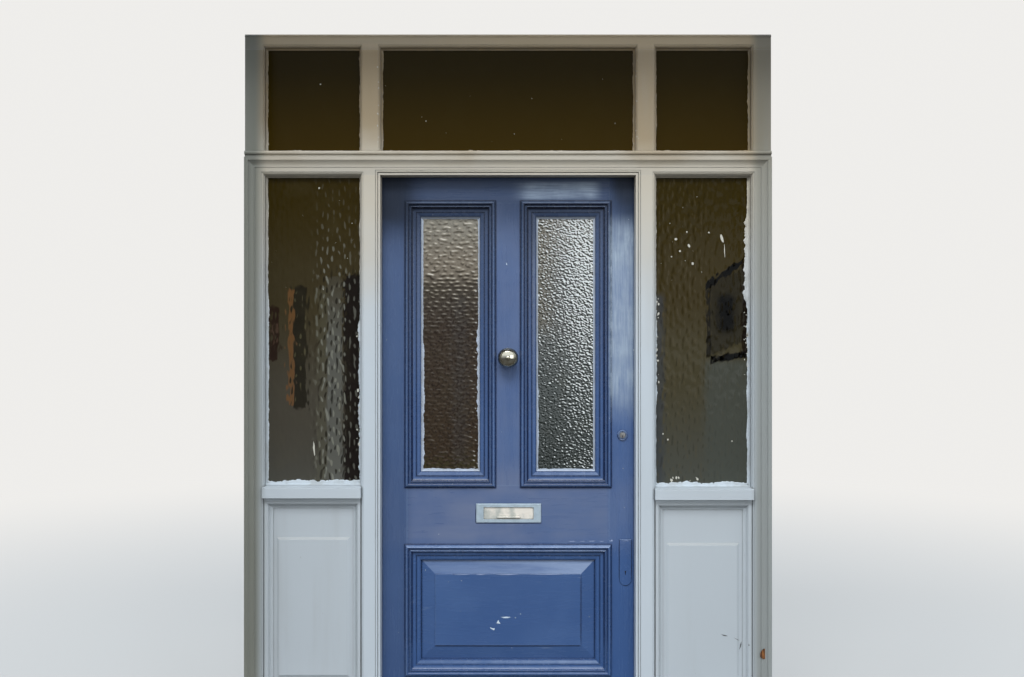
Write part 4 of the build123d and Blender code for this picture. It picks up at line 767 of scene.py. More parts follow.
ALONG_X = (0.03, 1, 1)
latch_brass = metal("latch_brass", (0.42, 0.41, 0.40), (0.22, 0.21, 0.19), (0.3, 0.5))
satin_plate = metal("satin_plate", (0.53, 0.64, 0.72), (0.46, 0.56, 0.63), (0.34, 0.46), ALONG_X,
                    corner_reach=0.006, metallic=0.35)
satin_flap = metal("satin_flap", (0.95, 0.88, 0.78), (0.56, 0.57, 0.52), (0.32, 0.45), ALONG_X,
                   corner_reach=0.007, metallic=0.2, patch=22)
plain_steel = metal("plain_steel", (0.55, 0.55, 0.54), (0.33, 0.31, 0.28), (0.3, 0.5))
hinge_iron = metal("hinge_iron", (0.20, 0.19, 0.18), (0.10, 0.085, 0.07), (0.45, 0.65))
latch_enamel = enamel("latch_enamel")
print("metals ready")

# %% [markdown]
# ## The knob's dome
#
# A turned knob is flat only on the drawing. Turning and polishing leave its
# face domed, and a dome mirrors ground and sky together where a flat would
# mirror one patch of them. A bump gives the dome's shading and leaves the
# CAD's knob as it is: the height falls with the square of the distance from
# the centre, and faster on the small boss in the middle.

# %% Domed brass
FACE_DOME = 0.070
BOSS_DOME = 0.012
BOSS_RADIUS = 0.0071


def turned_dome(tree):
    """The height of the knob's face and of its boss, as two domes round one centre."""
    low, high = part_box("centre_knob")
    place = put(tree, "TexCoord").outputs["Object"]
    off = put(tree, "VectorMath", {0: place, 1: (low + high) / 2}, operation="SUBTRACT").outputs[0]
    flat = put(tree, "VectorMath", {0: off, 1: (1, 0, 1)}, operation="MULTIPLY").outputs[0]
    radius = put(tree, "VectorMath", {0: flat}, operation="LENGTH").outputs["Value"]
    on_boss = maths("LESS_THAN", radius, BOSS_RADIUS)
    bend = between(on_boss, 0.0, 1.0, -0.5 / FACE_DOME, -0.5 / BOSS_DOME)
    return product(radius, radius, bend)


dull_brass = metal("dull_brass", (0.50, 0.48, 0.40), (0.36, 0.33, 0.24), (0.08, 0.15),
                   relief=turned_dome)
print("knob brass ready")

# %% [markdown]
# ## Dress the CAD pieces
#
# A CAD piece whose shape is right stays as it is and only changes material.
# The brush runs along each member, so uprights and rails get different
# paints. Each call names one material and then the pieces that wear it.


# %% Assign the paints and metals
def dress(material, *names):
    """Puts a material on every slot of the named CAD nodes."""
    for name in names:
        node = nodes[name]
        if not node.material_slots:
            node.data.materials.append(material)
        for slot in node.material_slots:
            slot.material = material


SIDES = ("left", "right")


def both(stem):
    """The two names of a piece that stands on the left and on the right."""
    return [f"{stem}_{side}" for side in SIDES]


dress(leaf_upright, "hinge_stile", "lock_stile", "muntin")
dress(leaf_level, "top_rail", "lock_rail", "bottom_rail", "lower_panel")
dress(leaf_mouldings, "bolection_lower", *both("bolection"))
dress(leaf_small, "escutcheon", "latch_ring", *both("inside_bead"))
dress(frame_upright, *both("post"), *both("jamb"), *both("architrave"))
dress(frame_level, "sill", "head", "transom_rail", "architrave_head")
dress(frame_level, *both("side_bar"), *both("side_bottom_rail"))
dress(frame_panels, *both("side_panel"), *both("side_moulding"))
dress(dull_brass, "centre_knob")
dress(latch_brass, "latch_cylinder", "cylinder_plug", "latch_bolt", "latch_knob", "dead_bolt")
dress(latch_brass, "strike_plate")
dress(satin_plate, "letter_plate")
dress(satin_flap, "letter_flap")
dress(plain_steel, "through_bolts", "flap_pin", "frame_screws", "leaf_screws", "mortice_lock")
dress(hinge_iron, "hinge_frame_leaves", "hinge_door_leaves", "hinge_pins")
dress(latch_enamel, "latch_case", "latch_keep")
print("CAD pieces dressed")

# %% [markdown]
# ## Obscured glass
#
# Patterned glass is rolled while soft, so one face has real relief. A bump
# map would look right from the front only, so here the front of each pane is
# a fine grid pushed in by the pattern, with a flat back, closed round its
# edge. The grid starts from the CAD pane's own box and only ever goes
# inwards, so the pane still fits its rebate.


# %% A mesh that rides on a body
def mesh_piece(name, corners, faces, material, body, smooth=True):
    """A mesh object in metres that rides on a body."""
    mesh = bpy.data.meshes.new(name)
    mesh.from_pydata(corners, [], faces)
    mesh.materials.append(material)
    mesh.polygons.foreach_set("use_smooth", [smooth] * len(faces))
    mesh.update()
    piece = bpy.data.objects.new(name, mesh)
    bpy.context.scene.collection.objects.link(piece)
    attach(piece, body)
    return piece


print("mesh builder ready")


# %% Pane builder
def rolled_pane(name, node, body, material, step, sink):
    """Replaces a flat pane with one whose front face follows sink(x, z)."""
    low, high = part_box(node)
    across = max(2, round((high.x - low.x) / step))
    up = max(2, round((high.z - low.z) / step))
    corners = []
    for row in range(up + 1):
        z = low.z + (high.z - low.z) * row / up
        for column in range(across + 1):
            x = low.x + (high.x - low.x) * column / across
            corners.append((x, low.y + sink(x, z), z))
    width = across + 1
    faces = [
        (row * width + column, row * width + column + 1,
         (row + 1) * width + column + 1, (row + 1) * width + column)
        for row in range(up) for column in range(across)
    ]
    rim = list(range(width))
    rim += [row * width + across for row in range(1, up + 1)]
    rim += [up * width + column for column in range(across - 1, -1, -1)]
    rim += [row * width for row in range(up - 1, 0, -1)]
    first_back = len(corners)
    corners += [(corners[index][0], high.y, corners[index][2]) for index in rim]
    for place, index in enumerate(rim):
        after = (place + 1) % len(rim)
        faces.append((index, first_back + place, first_back + after, rim[after]))
    faces.append(tuple(first_back + place for place in range(len(rim) - 1, -1, -1)))
    pane = mesh_piece(name, corners, faces, material, body)
    pane.data.polygons[len(faces) - 1].use_smooth = False
    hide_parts(node)
    print(name, len(faces), "faces")
    return pane


print("pane builder ready")

# %% [markdown]
# ## Three patterns of glass
#
# Each pattern is a height over the pane, built from one bowl repeated in
# staggered rows and shaken a little out of place, as a roller's own dents
# are. What makes the three differ is the bowl's size, its proportions and the
# way the rows run: wide and flat, small and leaning, or tall in columns. A
# bowl is taken off the depth of the floor between the bowls, so that its
# middle comes nearest to the pane's front.

# %% Patterns rolled into the glass
DIMPLE_SPREAD = 0.36
CRESCENT_FLOOR, CRESCENT_BOWL = 0.0014, 0.0008
STIPPLE_FLOOR, STIPPLE_BOWL = 0.0012, 0.00040
STIPPLE_LEAN = 0.6
HAMMERED_FLOOR, HAMMERED_BOWL = 0.0018, 0.0010


def ripple(x, z, wide, tall, seed):
    """A slow wander between -1 and 1, for pushing the rows out of line."""
    return noise.noise(Vector((x / wide, z / tall, seed)))


def dimples(x, z, wide, tall, jitter, seed):
    """Round-bottomed dimples in staggered rows, each a little out of its place."""
    row = math.floor(z / tall)
    depth = 0.0
    for near_row in (row - 1, row, row + 1):
        stagger = (near_row % 2) / 2
        column = math.floor(x / wide - stagger)
        for near_column in (column - 1, column, column + 1):
            astray = noise.cell_vector(Vector((near_column, near_row, seed)))
            across = x / wide - stagger - near_column - 0.5 + jitter * (astray.x - 0.5)
            up = z / tall - near_row - 0.5 + jitter * (astray.y - 0.5)
            depth += math.exp(-(across * across + up * up) / DIMPLE_SPREAD ** 2)
    return depth


def crescents(x, z):
    """Wide flat dimples; their lower rims catch the light as short dashes."""
    x += 0.006 * ripple(x, z, 0.030, 0.020, 4)
    z += 0.004 * ripple(x, z, 0.022, 0.030, 9)
    return CRESCENT_FLOOR - CRESCENT_BOWL * dimples(x, z, 0.029, 0.0140, 0.55, 3)


def stipple(x, z):
    """Small long dimples, packed close, all leaning one way."""
    x += 0.0035 * ripple(x, z, 0.020, 0.016, 5)
    z += 0.0035 * ripple(x, z, 0.016, 0.020, 8)
    pressed = 0.0
    for lean, seed in ((STIPPLE_LEAN, 7), (-STIPPLE_LEAN, 17)):
        pressed += dimples(x - lean * z, z + lean * x, 0.0125, 0.0068, 0.9, seed)
    return STIPPLE_FLOOR - STIPPLE_BOWL * pressed + 0.0001 * ripple(x, z, 0.006, 0.005, 5)


def hammered(x, z):
    """Tall dimples in columns, like the links of a chain."""
    x += 0.006 * ripple(x, z, 0.05, 0.08, 2)
    z += 0.010 * ripple(x, z, 0.03, 0.05, 3)
    links = dimples(z, x, 0.042, 0.0190, 0.6, 11)
    return HAMMERED_FLOOR - HAMMERED_BOWL * links + 0.0003 * ripple(x, z, 0.008, 0.016, 6)


print("patterns ready")

# %% [markdown]
# ## What glass shows
#
# By day it is far darker behind a front door than before it, so a pane from
# outside shows little of its own and mostly the dim colours behind it, bent
# by each bowl in the glass. The shader does the same sum: it looks up the
# colour not straight behind a point but shifted by the slope of the glass
# there. Straight edges then break up into links, as they do in a real pane.


# %% Glass finishes
EDGE_SOFTNESS = 0.005
FILM_BROWN = (0.11, 0.095, 0.05)


class View(Coats):
    """Colours behind a pane, looked up through the slopes of its front."""

    def __init__(self, tree, bend):
        super().__init__(None)
        self.tree = tree
        place = put(tree, "TexCoord")
        self.place = put(tree, "SeparateXYZ", {0: place.outputs["Object"]}).outputs
        self.slope = put(tree, "SeparateXYZ", {0: place.outputs["Normal"]}).outputs
        self.x, self.z = (maths("ADD", self.place[axis], product(self.slope[axis], bend))
                          for axis in "XZ")

    def rise(self, stops):
        """Colour by height, from (height, colour) stops that go upwards."""
        (below, self.colour), rest = stops[0], stops[1:]
        for above, colour in rest:
            self.lay(colour, between(self.z, below, above))
            below = above

    def block(self, x, z, colour, amount, soft=EDGE_SOFTNESS, slant=0.0):
        """A soft-edged shape behind the pane, between two places each way; slant tips it up."""
        tipped = product(maths("SUBTRACT", self.x, x[0]), slant)
        rise = maths("SUBTRACT", self.z, tipped)
        self.lay(colour, amount,
                 between(self.x, x[0] - soft, x[0] + soft),
                 between(self.x, x[1] - soft, x[1] + soft, 1.0, 0.0),
                 between(rise, z[0] - soft, z[0] + soft),
                 between(rise, z[1] - soft, z[1] + soft, 1.0, 0.0))

    def glints(self, lean, low, high, colour, amount, help_up=0.0):
        """Light caught by slopes that face one way; lean is (across, up)."""
        across, up = (product(self.slope[axis], part) for axis, part in zip("XZ", lean))
        slope = maths("ADD", maths("ADD", across, up), help_up)
        self.lay(colour, between(slope, low, high), amount)

    def mottle(self, size, colour, amount):
        """Uneven patches of a colour, size metres across."""
        self.lay(colour, between(grain(self.tree, 1 / size, detail=3), 0.48, 0.62), amount)

    def span(self, axis, low, high, out_low, out_high):
        """An amount that changes across the pane (X) or up it (Z)."""
        return between(self.place[axis], low, high, out_low, out_high)


def glass(name, paint_view, bend, dust=0.10, shine=0.3):
    """Dark glass: paint_view fills in what shows through it."""
    material, tree, shader = finish(name)
    view = View(tree, bend)
    paint_view(view)
    film = product(between(grain(tree, 12, detail=6), 0.45, 0.8), dust)
    view.lay(FILM_BROWN, film)
    feed(shader, {
        "Base Color": view.colour, "Roughness": maths("ADD", product(film, 0.5), 0.1),
        "IOR": 1.52, "Specular IOR Level": shine, "Transmission Weight": 0.08,
    })
    print(name, "has", len(tree.nodes), "nodes")
    return material


print("glass maker ready")

# %% [markdown]
# ## Colours in the leaf's panes
#
# Both of the leaf's panes are dark at the foot and paler above. The left one
# is brown, and its wide bowls catch the light in short dashes along their
# lower rims. The right one is grey, and its small bowls break the light into
# pale and dark crumbs, densest at the top.

# %% Colours behind the leaf's two panes
def behind_left_pane(view):
    view.rise([(0.98, (0.050, 0.042, 0.018)), (1.04, (0.050, 0.034, 0.021)),
               (1.45, (0.056, 0.041, 0.030)), (1.62, (0.074, 0.061, 0.048)),
               (1.70, (0.235, 0.200, 0.155)), (1.88, (0.295, 0.275, 0.228))])
    view.block((-0.19, -0.15), (1.0, 1.60), (0.065, 0.065, 0.065), 0.4, 0.03)
    view.mottle(0.008, (0.018, 0.011, 0.009), view.span("Z", 1.50, 1.70, 0.65, 0.2))
    fade = view.span("Z", 1.45, 1.72, 0.05, 1.0)
    view.glints((-0.2, -1), 0.03, 0.09, (0.035, 0.028, 0.020), 0.55)
    view.glints((-1, 0.2), 0.03, 0.07, (0.016, 0.011, 0.008), 0.6)
    view.glints((1, 0.2), 0.04, 0.08, (0.120, 0.105, 0.090), 0.45)
    view.glints((0.3, 1), 0.025, 0.080, (0.40, 0.35, 0.27), product(fade, 0.6))
    view.glints((0.3, 1), 0.080, 0.125, (0.76, 0.71, 0.62), fade)
    right_edge = view.span("X", -0.15, -0.11, 0.0, 0.7)
    view.glints((1, 0.4), 0.045, 0.070, (0.55, 0.53, 0.48), right_edge)


def behind_right_pane(view):
    view.rise([(0.98, (0.042, 0.049, 0.046)), (1.25, (0.085, 0.094, 0.090)),
               (1.60, (0.170, 0.172, 0.165)), (1.87, (0.28, 0.27, 0.245))])
    view.block((0.05, 0.150), (1.48, 1.9), (0.180, 0.150, 0.100), 0.6, 0.045)
    view.mottle(0.005, (0.20, 0.215, 0.21), view.span("Z", 1.20, 1.60, 0.45, 0.3))
    rightwards = view.span("X", 0.12, 0.27, -0.02, 0.035)
    upwards = view.span("Z", 1.02, 1.75, -0.035, 0.028)
    more = maths("ADD", rightwards, upwards)
    view.glints((-0.6, -0.8), 0.01, 0.06, (0.010, 0.013, 0.011),
                view.span("Z", 1.0, 1.85, 0.95, 0.85))
    view.glints((0.6, 0.8), 0.045, 0.090, (0.84, 0.88, 0.87), 0.95, more)


left_pane_glass = glass("crescent_glass", behind_left_pane, 0.35, shine=0.12)
right_pane_glass = glass("stippled_glass", behind_right_pane, 0.20)

# %% [markdown]
# ## Colours in the frame's panes
#
# The side lights are darker and their glass is calmer, so shapes in it stay
# readable: soft upright blocks on the left, a tilted dark square on the
# right. A block is given by its ends in metres and takes its ragged outline
# from the slopes of the glass. The overlights are plain glass with darkness
# behind them, and need one rise of colour.

# %% Colours behind the side lights and the overlights
def behind_left_side_light(view):
    view.rise([(0.93, (0.072, 0.068, 0.056)), (1.20, (0.068, 0.060, 0.045)),
               (1.60, (0.048, 0.037, 0.017)), (1.95, (0.036, 0.024, 0.004))])
    view.block((-0.668, -0.635), (0.90, 1.63), (0.10, 0.095, 0.065), 0.4, 0.008)
    view.block((-0.635, -0.584), (0.90, 1.66), (0.115, 0.115, 0.10),
               view.span("Z", 1.66, 1.40, 0.25, 0.9), 0.006)
    view.block((-0.576, -0.50), (0.90, 1.67), (0.012, 0.009, 0.008), 0.95, 0.006)
    view.block((-0.754, -0.706), (1.20, 1.63), (0.014, 0.012, 0.008), 0.85, 0.006)
    view.block((-0.771, -0.755), (1.215, 1.62), (0.160, 0.074, 0.027), 0.75, 0.005)
    view.block((-0.836, -0.806), (1.37, 1.56), (0.020, 0.009, 0.007), 0.85, 0.006)
    view.block((-0.826, -0.816), (1.43, 1.50), (0.075, 0.045, 0.030), 0.8, 0.004)
    inwards = view.span("X", -0.70, -0.64, 0.0, 0.75)
    strength = product(inwards, view.span("Z", 1.95, 1.6, 0.15, 1.0),
                       view.span("X", -0.575, -0.565, 1.0, 0.5))
    view.glints((1, 0.5), 0.045, 0.085, (0.22, 0.22, 0.18), strength)
    dark_links = product(inwards, view.span("Z", 1.72, 1.64, 0.15, 1.0))
    view.glints((-1, 0.5), 0.040, 0.075, (0.010, 0.008, 0.006), dark_links)
    on_strip = product(
        view.span("X", -0.755, -0.750, 0.0, 0.8), view.span("X", -0.712, -0.706, 1.0, 0.0),
        view.span("Z", 1.22, 1.23, 0.0, 1.0), view.span("Z", 1.60, 1.62, 1.0, 0.0),
    )
    view.glints((1, -0.6), 0.060, 0.100, (0.085, 0.075, 0.040), on_strip)


def behind_right_side_light(view):
    view.rise([(0.93, (0.074, 0.076, 0.062)), (1.35, (0.066, 0.056, 0.030)),
               (1.60, (0.046, 0.033, 0.010)), (1.95, (0.036, 0.024, 0.003))])
    view.block((0.690, 0.900), (0.90, 1.37), (0.070, 0.076, 0.064), 0.8, 0.02)
    view.block((0.700, 0.840), (1.380, 1.640), (0.014, 0.012, 0.007), 0.75, 0.008, 0.45)
    view.block((0.735, 0.795), (1.47, 1.60), (0.0, 0.0, 0.0), 1.0, 0.018)
    view.block((0.693, 0.832), (1.618, 1.642), (0.0, 0.0, 0.0), 1.0, 0.004, 0.68)
    view.block((0.714, 0.840), (1.360, 1.384), (0.0, 0.0, 0.0), 1.0, 0.004, 0.18)
    view.block((0.698, 0.712), (1.38, 1.62), (0.004, 0.003, 0.002), 0.8, 0.004)
    view.block((0.822, 0.850), (1.40, 1.72), (0.006, 0.003, 0.003), 0.85, 0.006)
    view.block((0.500, 0.545), (0.90, 1.60), (0.050, 0.056, 0.066), 0.6, 0.012)
    leftwards = view.span("X", 0.74, 0.66, 0.10, 0.30)
    view.glints((1, 0.3), 0.050, 0.090, (0.095, 0.075, 0.040), leftwards)
    view.glints((-1, 0.3), 0.055, 0.095, (0.012, 0.009, 0.004), leftwards)


def behind_overlight(view):
    view.rise([(2.10, (0.044, 0.026, 0.002)), (2.46, (0.028, 0.018, 0.001))])


left_side_glass = glass("hammered_glass_left", behind_left_side_light, 0.13, shine=0.0)
right_side_glass = glass("hammered_glass_right", behind_right_side_light, 0.09, dust=0.04,
                         shine=0.0)
clear_glass = glass("clear_glass", behind_overlight, 0.0, dust=0.02, shine=0.0)

# %% [markdown]
# ## Hang the panes
#
# Each rolled pane takes the place of the CAD's flat one, on the same body, so
# a pane of the leaf swings with it. A finer pattern needs a finer grid. The
# overlights keep the CAD's flat panes, because their glass is plain.

# %% Hang the rolled panes
rolled_pane("crescent_pane", "pane_left", "leaf",
            left_pane_glass, step=0.0023, sink=crescents)
rolled_pane("stippled_pane", "pane_right", "leaf",
            right_pane_glass, step=0.0017, sink=stipple)
rolled_pane("hammered_pane_left", "sidelight_glass_left", "frame",
            left_side_glass, step=0.0030, sink=hammered)
rolled_pane("hammered_pane_right", "sidelight_glass_right", "frame",
            right_side_glass, step=0.0030, sink=hammered)
dress(clear_glass, "overlight_glass_left", "overlight_glass_centre", "overlight_glass_right")

# %% [markdown]
# ## Ragged putty and paint on the glass
#
# Nobody cuts in perfectly. White paint laps from the putty onto the glass in
# an uneven line, thickest along the bottom where it ran. Each lap is a thin
# strip on the glass whose inner edge wanders; its outer edge hides under the
# putty.

# %% Putty finish
def putty_finish(name, fixed_colour=None):
    """Old putty and paint: lumpy, and a little dirty in its hollows."""
    material, tree, shader = finish(name)
    skin = Coats(fixed_colour or weathered_and_shaded_white(tree))
    skin.lay((0.30, 0.30, 0.28), between(grain(tree, 25, detail=4), 0.4, 0.7, 0.0, 0.4))
    feed(shader, {
        "Base Color": skin.colour, "Roughness": 0.55,
        "Normal": bump(grain(tree, 160, detail=5), 0.6, 0.0015),
    })
    return material


frame_putty_white = putty_finish("frame_putty_white")
leaf_putty_white = putty_finish("leaf_putty_white", (0.46, 0.52, 0.62))
dress(leaf_putty_white, "pane_putty")
print("putty finishes ready")


# %% Lap strips
SWELL_RUN = 0.04
THINNEST_LAP = 0.0006
LAP_STEP = 0.0025
LAP_HIDDEN = 0.003
LAP_PROUD = 0.0006
LAP_SUNK = 0.0009
LAP_SHOULDER = 0.8
# Slow, quick and sharp waves of a lap's edge: waves in a metre, layer of noise, height.
LAP_WAVES = ((14, 0, 1.1), (60, 7, 0.9), (190, 13, 0.5))


def lap_width(along, mean, rough, seed):
    """How far the paint laps onto the glass at a place along the edge."""
    wander = sum(height * noise.noise(Vector((along * pace, seed, layer)))
                 for pace, layer, height in LAP_WAVES)
    return max(THINNEST_LAP, mean * (1 + rough * wander))


def swelling(z, swell):
    """How many times wider a lap is at a height; swell is (low, high, times)."""
    if not swell:
        return 1.0
    low, high, times = swell
    inside = min(1.0, max(0.0, (z - low) / SWELL_RUN)) * min(1.0, max(0.0, (high - z) / SWELL_RUN))
    return 1.0 + (times - 1.0) * inside


def lap_strip(name, start, end, inward, glass_y, width, seed, material, body):
    """A thin closed strip along one edge of a pane, from start to end."""
    mean, rough, swell = width
    start, end, inward = Vector(start), Vector(end), Vector(inward)
    count = max(8, round((end - start).length / LAP_STEP))
    front, back = glass_y - LAP_PROUD, glass_y + LAP_SUNK
    corners = []
    for index in range(count + 1):
        spot = start.lerp(end, index / count)
        reach = lap_width((spot - start).length, mean, rough, seed) * swelling(spot.z, swell)
        for lean, y in ((-LAP_HIDDEN, front), (reach * LAP_SHOULDER, front), (reach, back),
                        (-LAP_HIDDEN, back)):
            place = spot + inward * lean
            corners.append((place.x, y, place.z))
    faces = []
    for index in range(count):
        first = index * 4
        for edge in range(4):
            after = (edge + 1) % 4
            faces.append((first + edge, first + 4 + edge, first + 4 + after, first + after))
    faces += [(3, 2, 1, 0), tuple(count * 4 + edge for edge in range(4))]
    return mesh_piece(name, corners, faces, material, body, smooth=False)


print("lap strips ready")

# %% [markdown]
# ## The frame's putty
#
# The CAD's putty is as wide as the rebate that it fills. A glazier knifes it
# back to a narrow fillet, so that no putty shows from inside, and on this
# frame hardly 5 mm is left. One closed ring of four mitred lengths goes round
# each pane, and the rings together replace the CAD's node.

# %% Knife the frame's putty back
FRAME_PUTTY = 0.0045
FRAME_PUTTY_PROUD = 0.009
PUTTY_TOE = 0.001
FRAME_PANES = [*both("sidelight_glass"),
               *[f"overlight_glass_{place}" for place in ("left", "centre", "right")]]


def putty_fillets(name, panes, replaced):
    """Narrow mitred fillets of putty round the panes, in place of the full-width ones."""
    corners, faces = [], []
    for pane in panes:
        low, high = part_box(pane)
        first = len(corners)
        for inset, y in ((0.0, low.y - FRAME_PUTTY_PROUD), (FRAME_PUTTY, low.y - PUTTY_TOE),
                         (FRAME_PUTTY, low.y + PUTTY_TOE), (0.0, low.y + PUTTY_TOE)):
            x, z = (low.x + inset, high.x - inset), (low.z + inset, high.z - inset)
            corners += [(x[0], y, z[0]), (x[1], y, z[0]), (x[1], y, z[1]), (x[0], y, z[1])]
        for loop in range(4):
            start, after = first + loop * 4, first + (loop + 1) % 4 * 4
            for side in range(4):
                turned = (side + 1) % 4
                faces.append((start + side, start + turned, after + turned, after + side))
    fillets = mesh_piece(name, corners, faces, frame_putty_white, "frame", smooth=False)
    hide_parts(replaced)
    return fillets


putty_fillets("putty_fillets", FRAME_PANES, "frame_putty")
print("putty fillets round", len(FRAME_PANES), "panes")

# %% [markdown]
# ## Paint that laps onto the glass
#
# Each pane gets four laps, given by their mean width, how rough their edge is
# and, on some, a stretch where the brush strayed and the lap swells. They
# start under the putty or the moulding, so no gap shows behind them. The top
# edge of a pane is hard to reach with a full brush, and stays nearly bare.

# %% Lap paint round every pane
BOLECTION_INSIDE = 0.049
LEAF_PUTTY = 0.005
LAP_TUCK = 0.0008


def lap_pane(stem, x, z, glass_y, widths, seed, material, body):
    """Laps along the four edges of the glass that shows: left, right, bottom, top."""
    edges = {
        "left": ((x[0], 0, z[0]), (x[0], 0, z[1]), (1, 0, 0)),
        "right": ((x[1], 0, z[0]), (x[1], 0, z[1]), (-1, 0, 0)),
        "bottom": ((x[0], 0, z[0]), (x[1], 0, z[0]), (0, 0, 1)),
        "top": ((x[0], 0, z[1]), (x[1], 0, z[1]), (0, 0, -1)),
    }
    for index, (edge, width) in enumerate(widths.items()):
        start, end, inward = edges[edge]
        lap_strip(f"{stem}_{edge}", start, end, inward, glass_y, width, seed + index,
                  material, body)


def glass_showing(node, cover):
    """The part of a pane that its putty or moulding leaves in view."""
    low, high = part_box(node)
    return (low.x + cover, high.x - cover), (low.z + cover, high.z - cover), low.y


BARE_LAP = (0.0008, 0.6, None)
THIN_LAP = (0.0025, 1.2, None)
OVERLIGHT_LAPS = {"left": THIN_LAP, "right": THIN_LAP, "bottom": THIN_LAP, "top": BARE_LAP}
ON_LEAF = (BOLECTION_INSIDE + LEAF_PUTTY - LAP_TUCK, leaf_putty_white, "leaf")
ON_FRAME = (FRAME_PUTTY - LAP_TUCK, frame_putty_white, "frame")
LAPS = (
    ("pane_left", ON_LEAF, {"left": (0.002, 0.9, (0.98, 1.45, 2.6)),
                            "right": (0.0015, 1.2, (1.15, 1.50, 3.0)),
                            "bottom": (0.003, 0.9, None), "top": BARE_LAP}, 11),
    ("pane_right", ON_LEAF, {"left": (0.0012, 1.0, (0.98, 1.30, 2.5)),
                             "right": (0.0012, 0.9, None),
                             "bottom": (0.0025, 0.9, None), "top": BARE_LAP}, 31),
    ("sidelight_glass_left", ON_FRAME, {"left": (0.002, 0.9, (0.95, 1.62, 2.0)),
                                        "right": (0.002, 1.2, (0.95, 1.55, 2.4)),
                                        "bottom": (0.012, 0.6, None), "top": BARE_LAP}, 51),
    ("sidelight_glass_right", ON_FRAME, {"left": (0.0015, 1.2, (1.20, 1.60, 2.2)),
                                         "right": (0.005, 0.5, (1.55, 1.89, 2.7)),
                                         "bottom": (0.011, 0.6, None), "top": BARE_LAP}, 71),
    ("overlight_glass_left", ON_FRAME, OVERLIGHT_LAPS, 91),
    ("overlight_glass_centre", ON_FRAME, OVERLIGHT_LAPS, 111),
    ("overlight_glass_right", ON_FRAME, OVERLIGHT_LAPS, 131),
)
for node, (cover, white, body), widths, seed in LAPS:
    lap_pane(f"paint_lap_{node}", *glass_showing(node, cover), widths, seed, white, body)
print("paint laps round", len(LAPS), "panes")

# %% [markdown]
# ## Chips, scratches and runs
#
# The last marks are the ones an eye goes to: white chips on the lower panel,
# scuffs along the top of its moulding, a bare brown patch low on the right
# architrave, and specks of paint on the side glass. Each is a thin flake with
# its own outline. A ray sent in from the front finds the surface that the
# flake lies on, so a mark may be placed with two numbers.


# %% Outlines of flakes
CRESCENT = ((-0.5, 0.1), (-0.15, -0.3), (0.2, -0.25), (0.5, 0.2), (0.1, 0.4), (-0.2, 0.2))
WEDGE = ((-0.5, 0.5), (-0.2, 0.0), (0.1, -0.3), (0.45, -0.5), (0.5, 0.3), (0.1, 0.2))
STRIP = ((-0.5, -0.4), (0.1, -0.5), (0.5, -0.3), (0.5, 0.4), (-0.1, 0.5), (-0.5, 0.3))
TOOTH = ((-0.5, -0.4), (0.5, -0.5), (0.15, 0.0), (0.0, 0.5), (-0.25, 0.1))
RAGGED_POINTS = 10


def ragged(seed):
    """A roundish outline with an uneven edge, one unit across."""
    rng = random.Random(seed)
    outline = []
    for index in range(RAGGED_POINTS):
        angle = math.tau * index / RAGGED_POINTS
        reach = 0.32 + 0.18 * rng.random()
        outline.append((reach * math.cos(angle), reach * math.sin(angle)))
    return outline


def strewn(x, z, count, size, seed):
    """Specks scattered over a stretch, most of them small."""
    rng = random.Random(seed)
    marks = []
    for index in range(count):
        across, up = rng.uniform(*x), rng.uniform(*z)
        wide = size * (0.3 + 0.7 * rng.random() ** 2)
        marks.append((across, up, wide, wide * rng.uniform(0.6, 2.2), rng.uniform(-0.5, 0.5),
                      ragged(seed + index)))
    return marks


print("outlines ready")


# %% Flake builder
FLAKE_PROUD = 0.0004
FLAKE_SUNK = 0.0003
RAY_START = 0.001


def surface_y(x, z):
    """Where the front of the door lies at a place."""
    start = Vector((x, cad_bounds[0][1] - RAY_START, z))
    depsgraph = bpy.context.evaluated_depsgraph_get()
    hit, spot, *_ = bpy.context.scene.ray_cast(depsgraph, start, Vector((0, 1, 0)))
    return spot.y if hit else 0.0


def flakes(name, marks, material, body):
    """One mesh of thin flakes; a mark is (x, z, wide, tall, lean, outline)."""
    corners, faces = [], []
    for x, z, wide, tall, lean, outline in marks:
        y = surface_y(x, z)
        first, count = len(corners), len(outline)
        turn, side = math.cos(lean), math.sin(lean)
        spots = [(x + across * wide * turn - up * tall * side,
                  z + across * wide * side + up * tall * turn) for across, up in outline]
        corners += [(across, y - FLAKE_PROUD, up) for across, up in spots]
        corners += [(across, y + FLAKE_SUNK, up) for across, up in spots]
        faces.append(tuple(range(first, first + count)))
        faces.append(tuple(range(first + 2 * count - 1, first + count - 1, -1)))
        for index in range(count):
            after = (index + 1) % count
            faces.append((first + index, first + index + count, first + after + count,
                          first + after))
    print(name, len(marks), "marks")
    return mesh_piece(name, corners, faces, material, body, smooth=False)


def leaf_flakes(name, marks, material):
    """Flakes on the painted leaf."""
    return flakes(name, marks, material, "leaf")


print("flake builder ready")

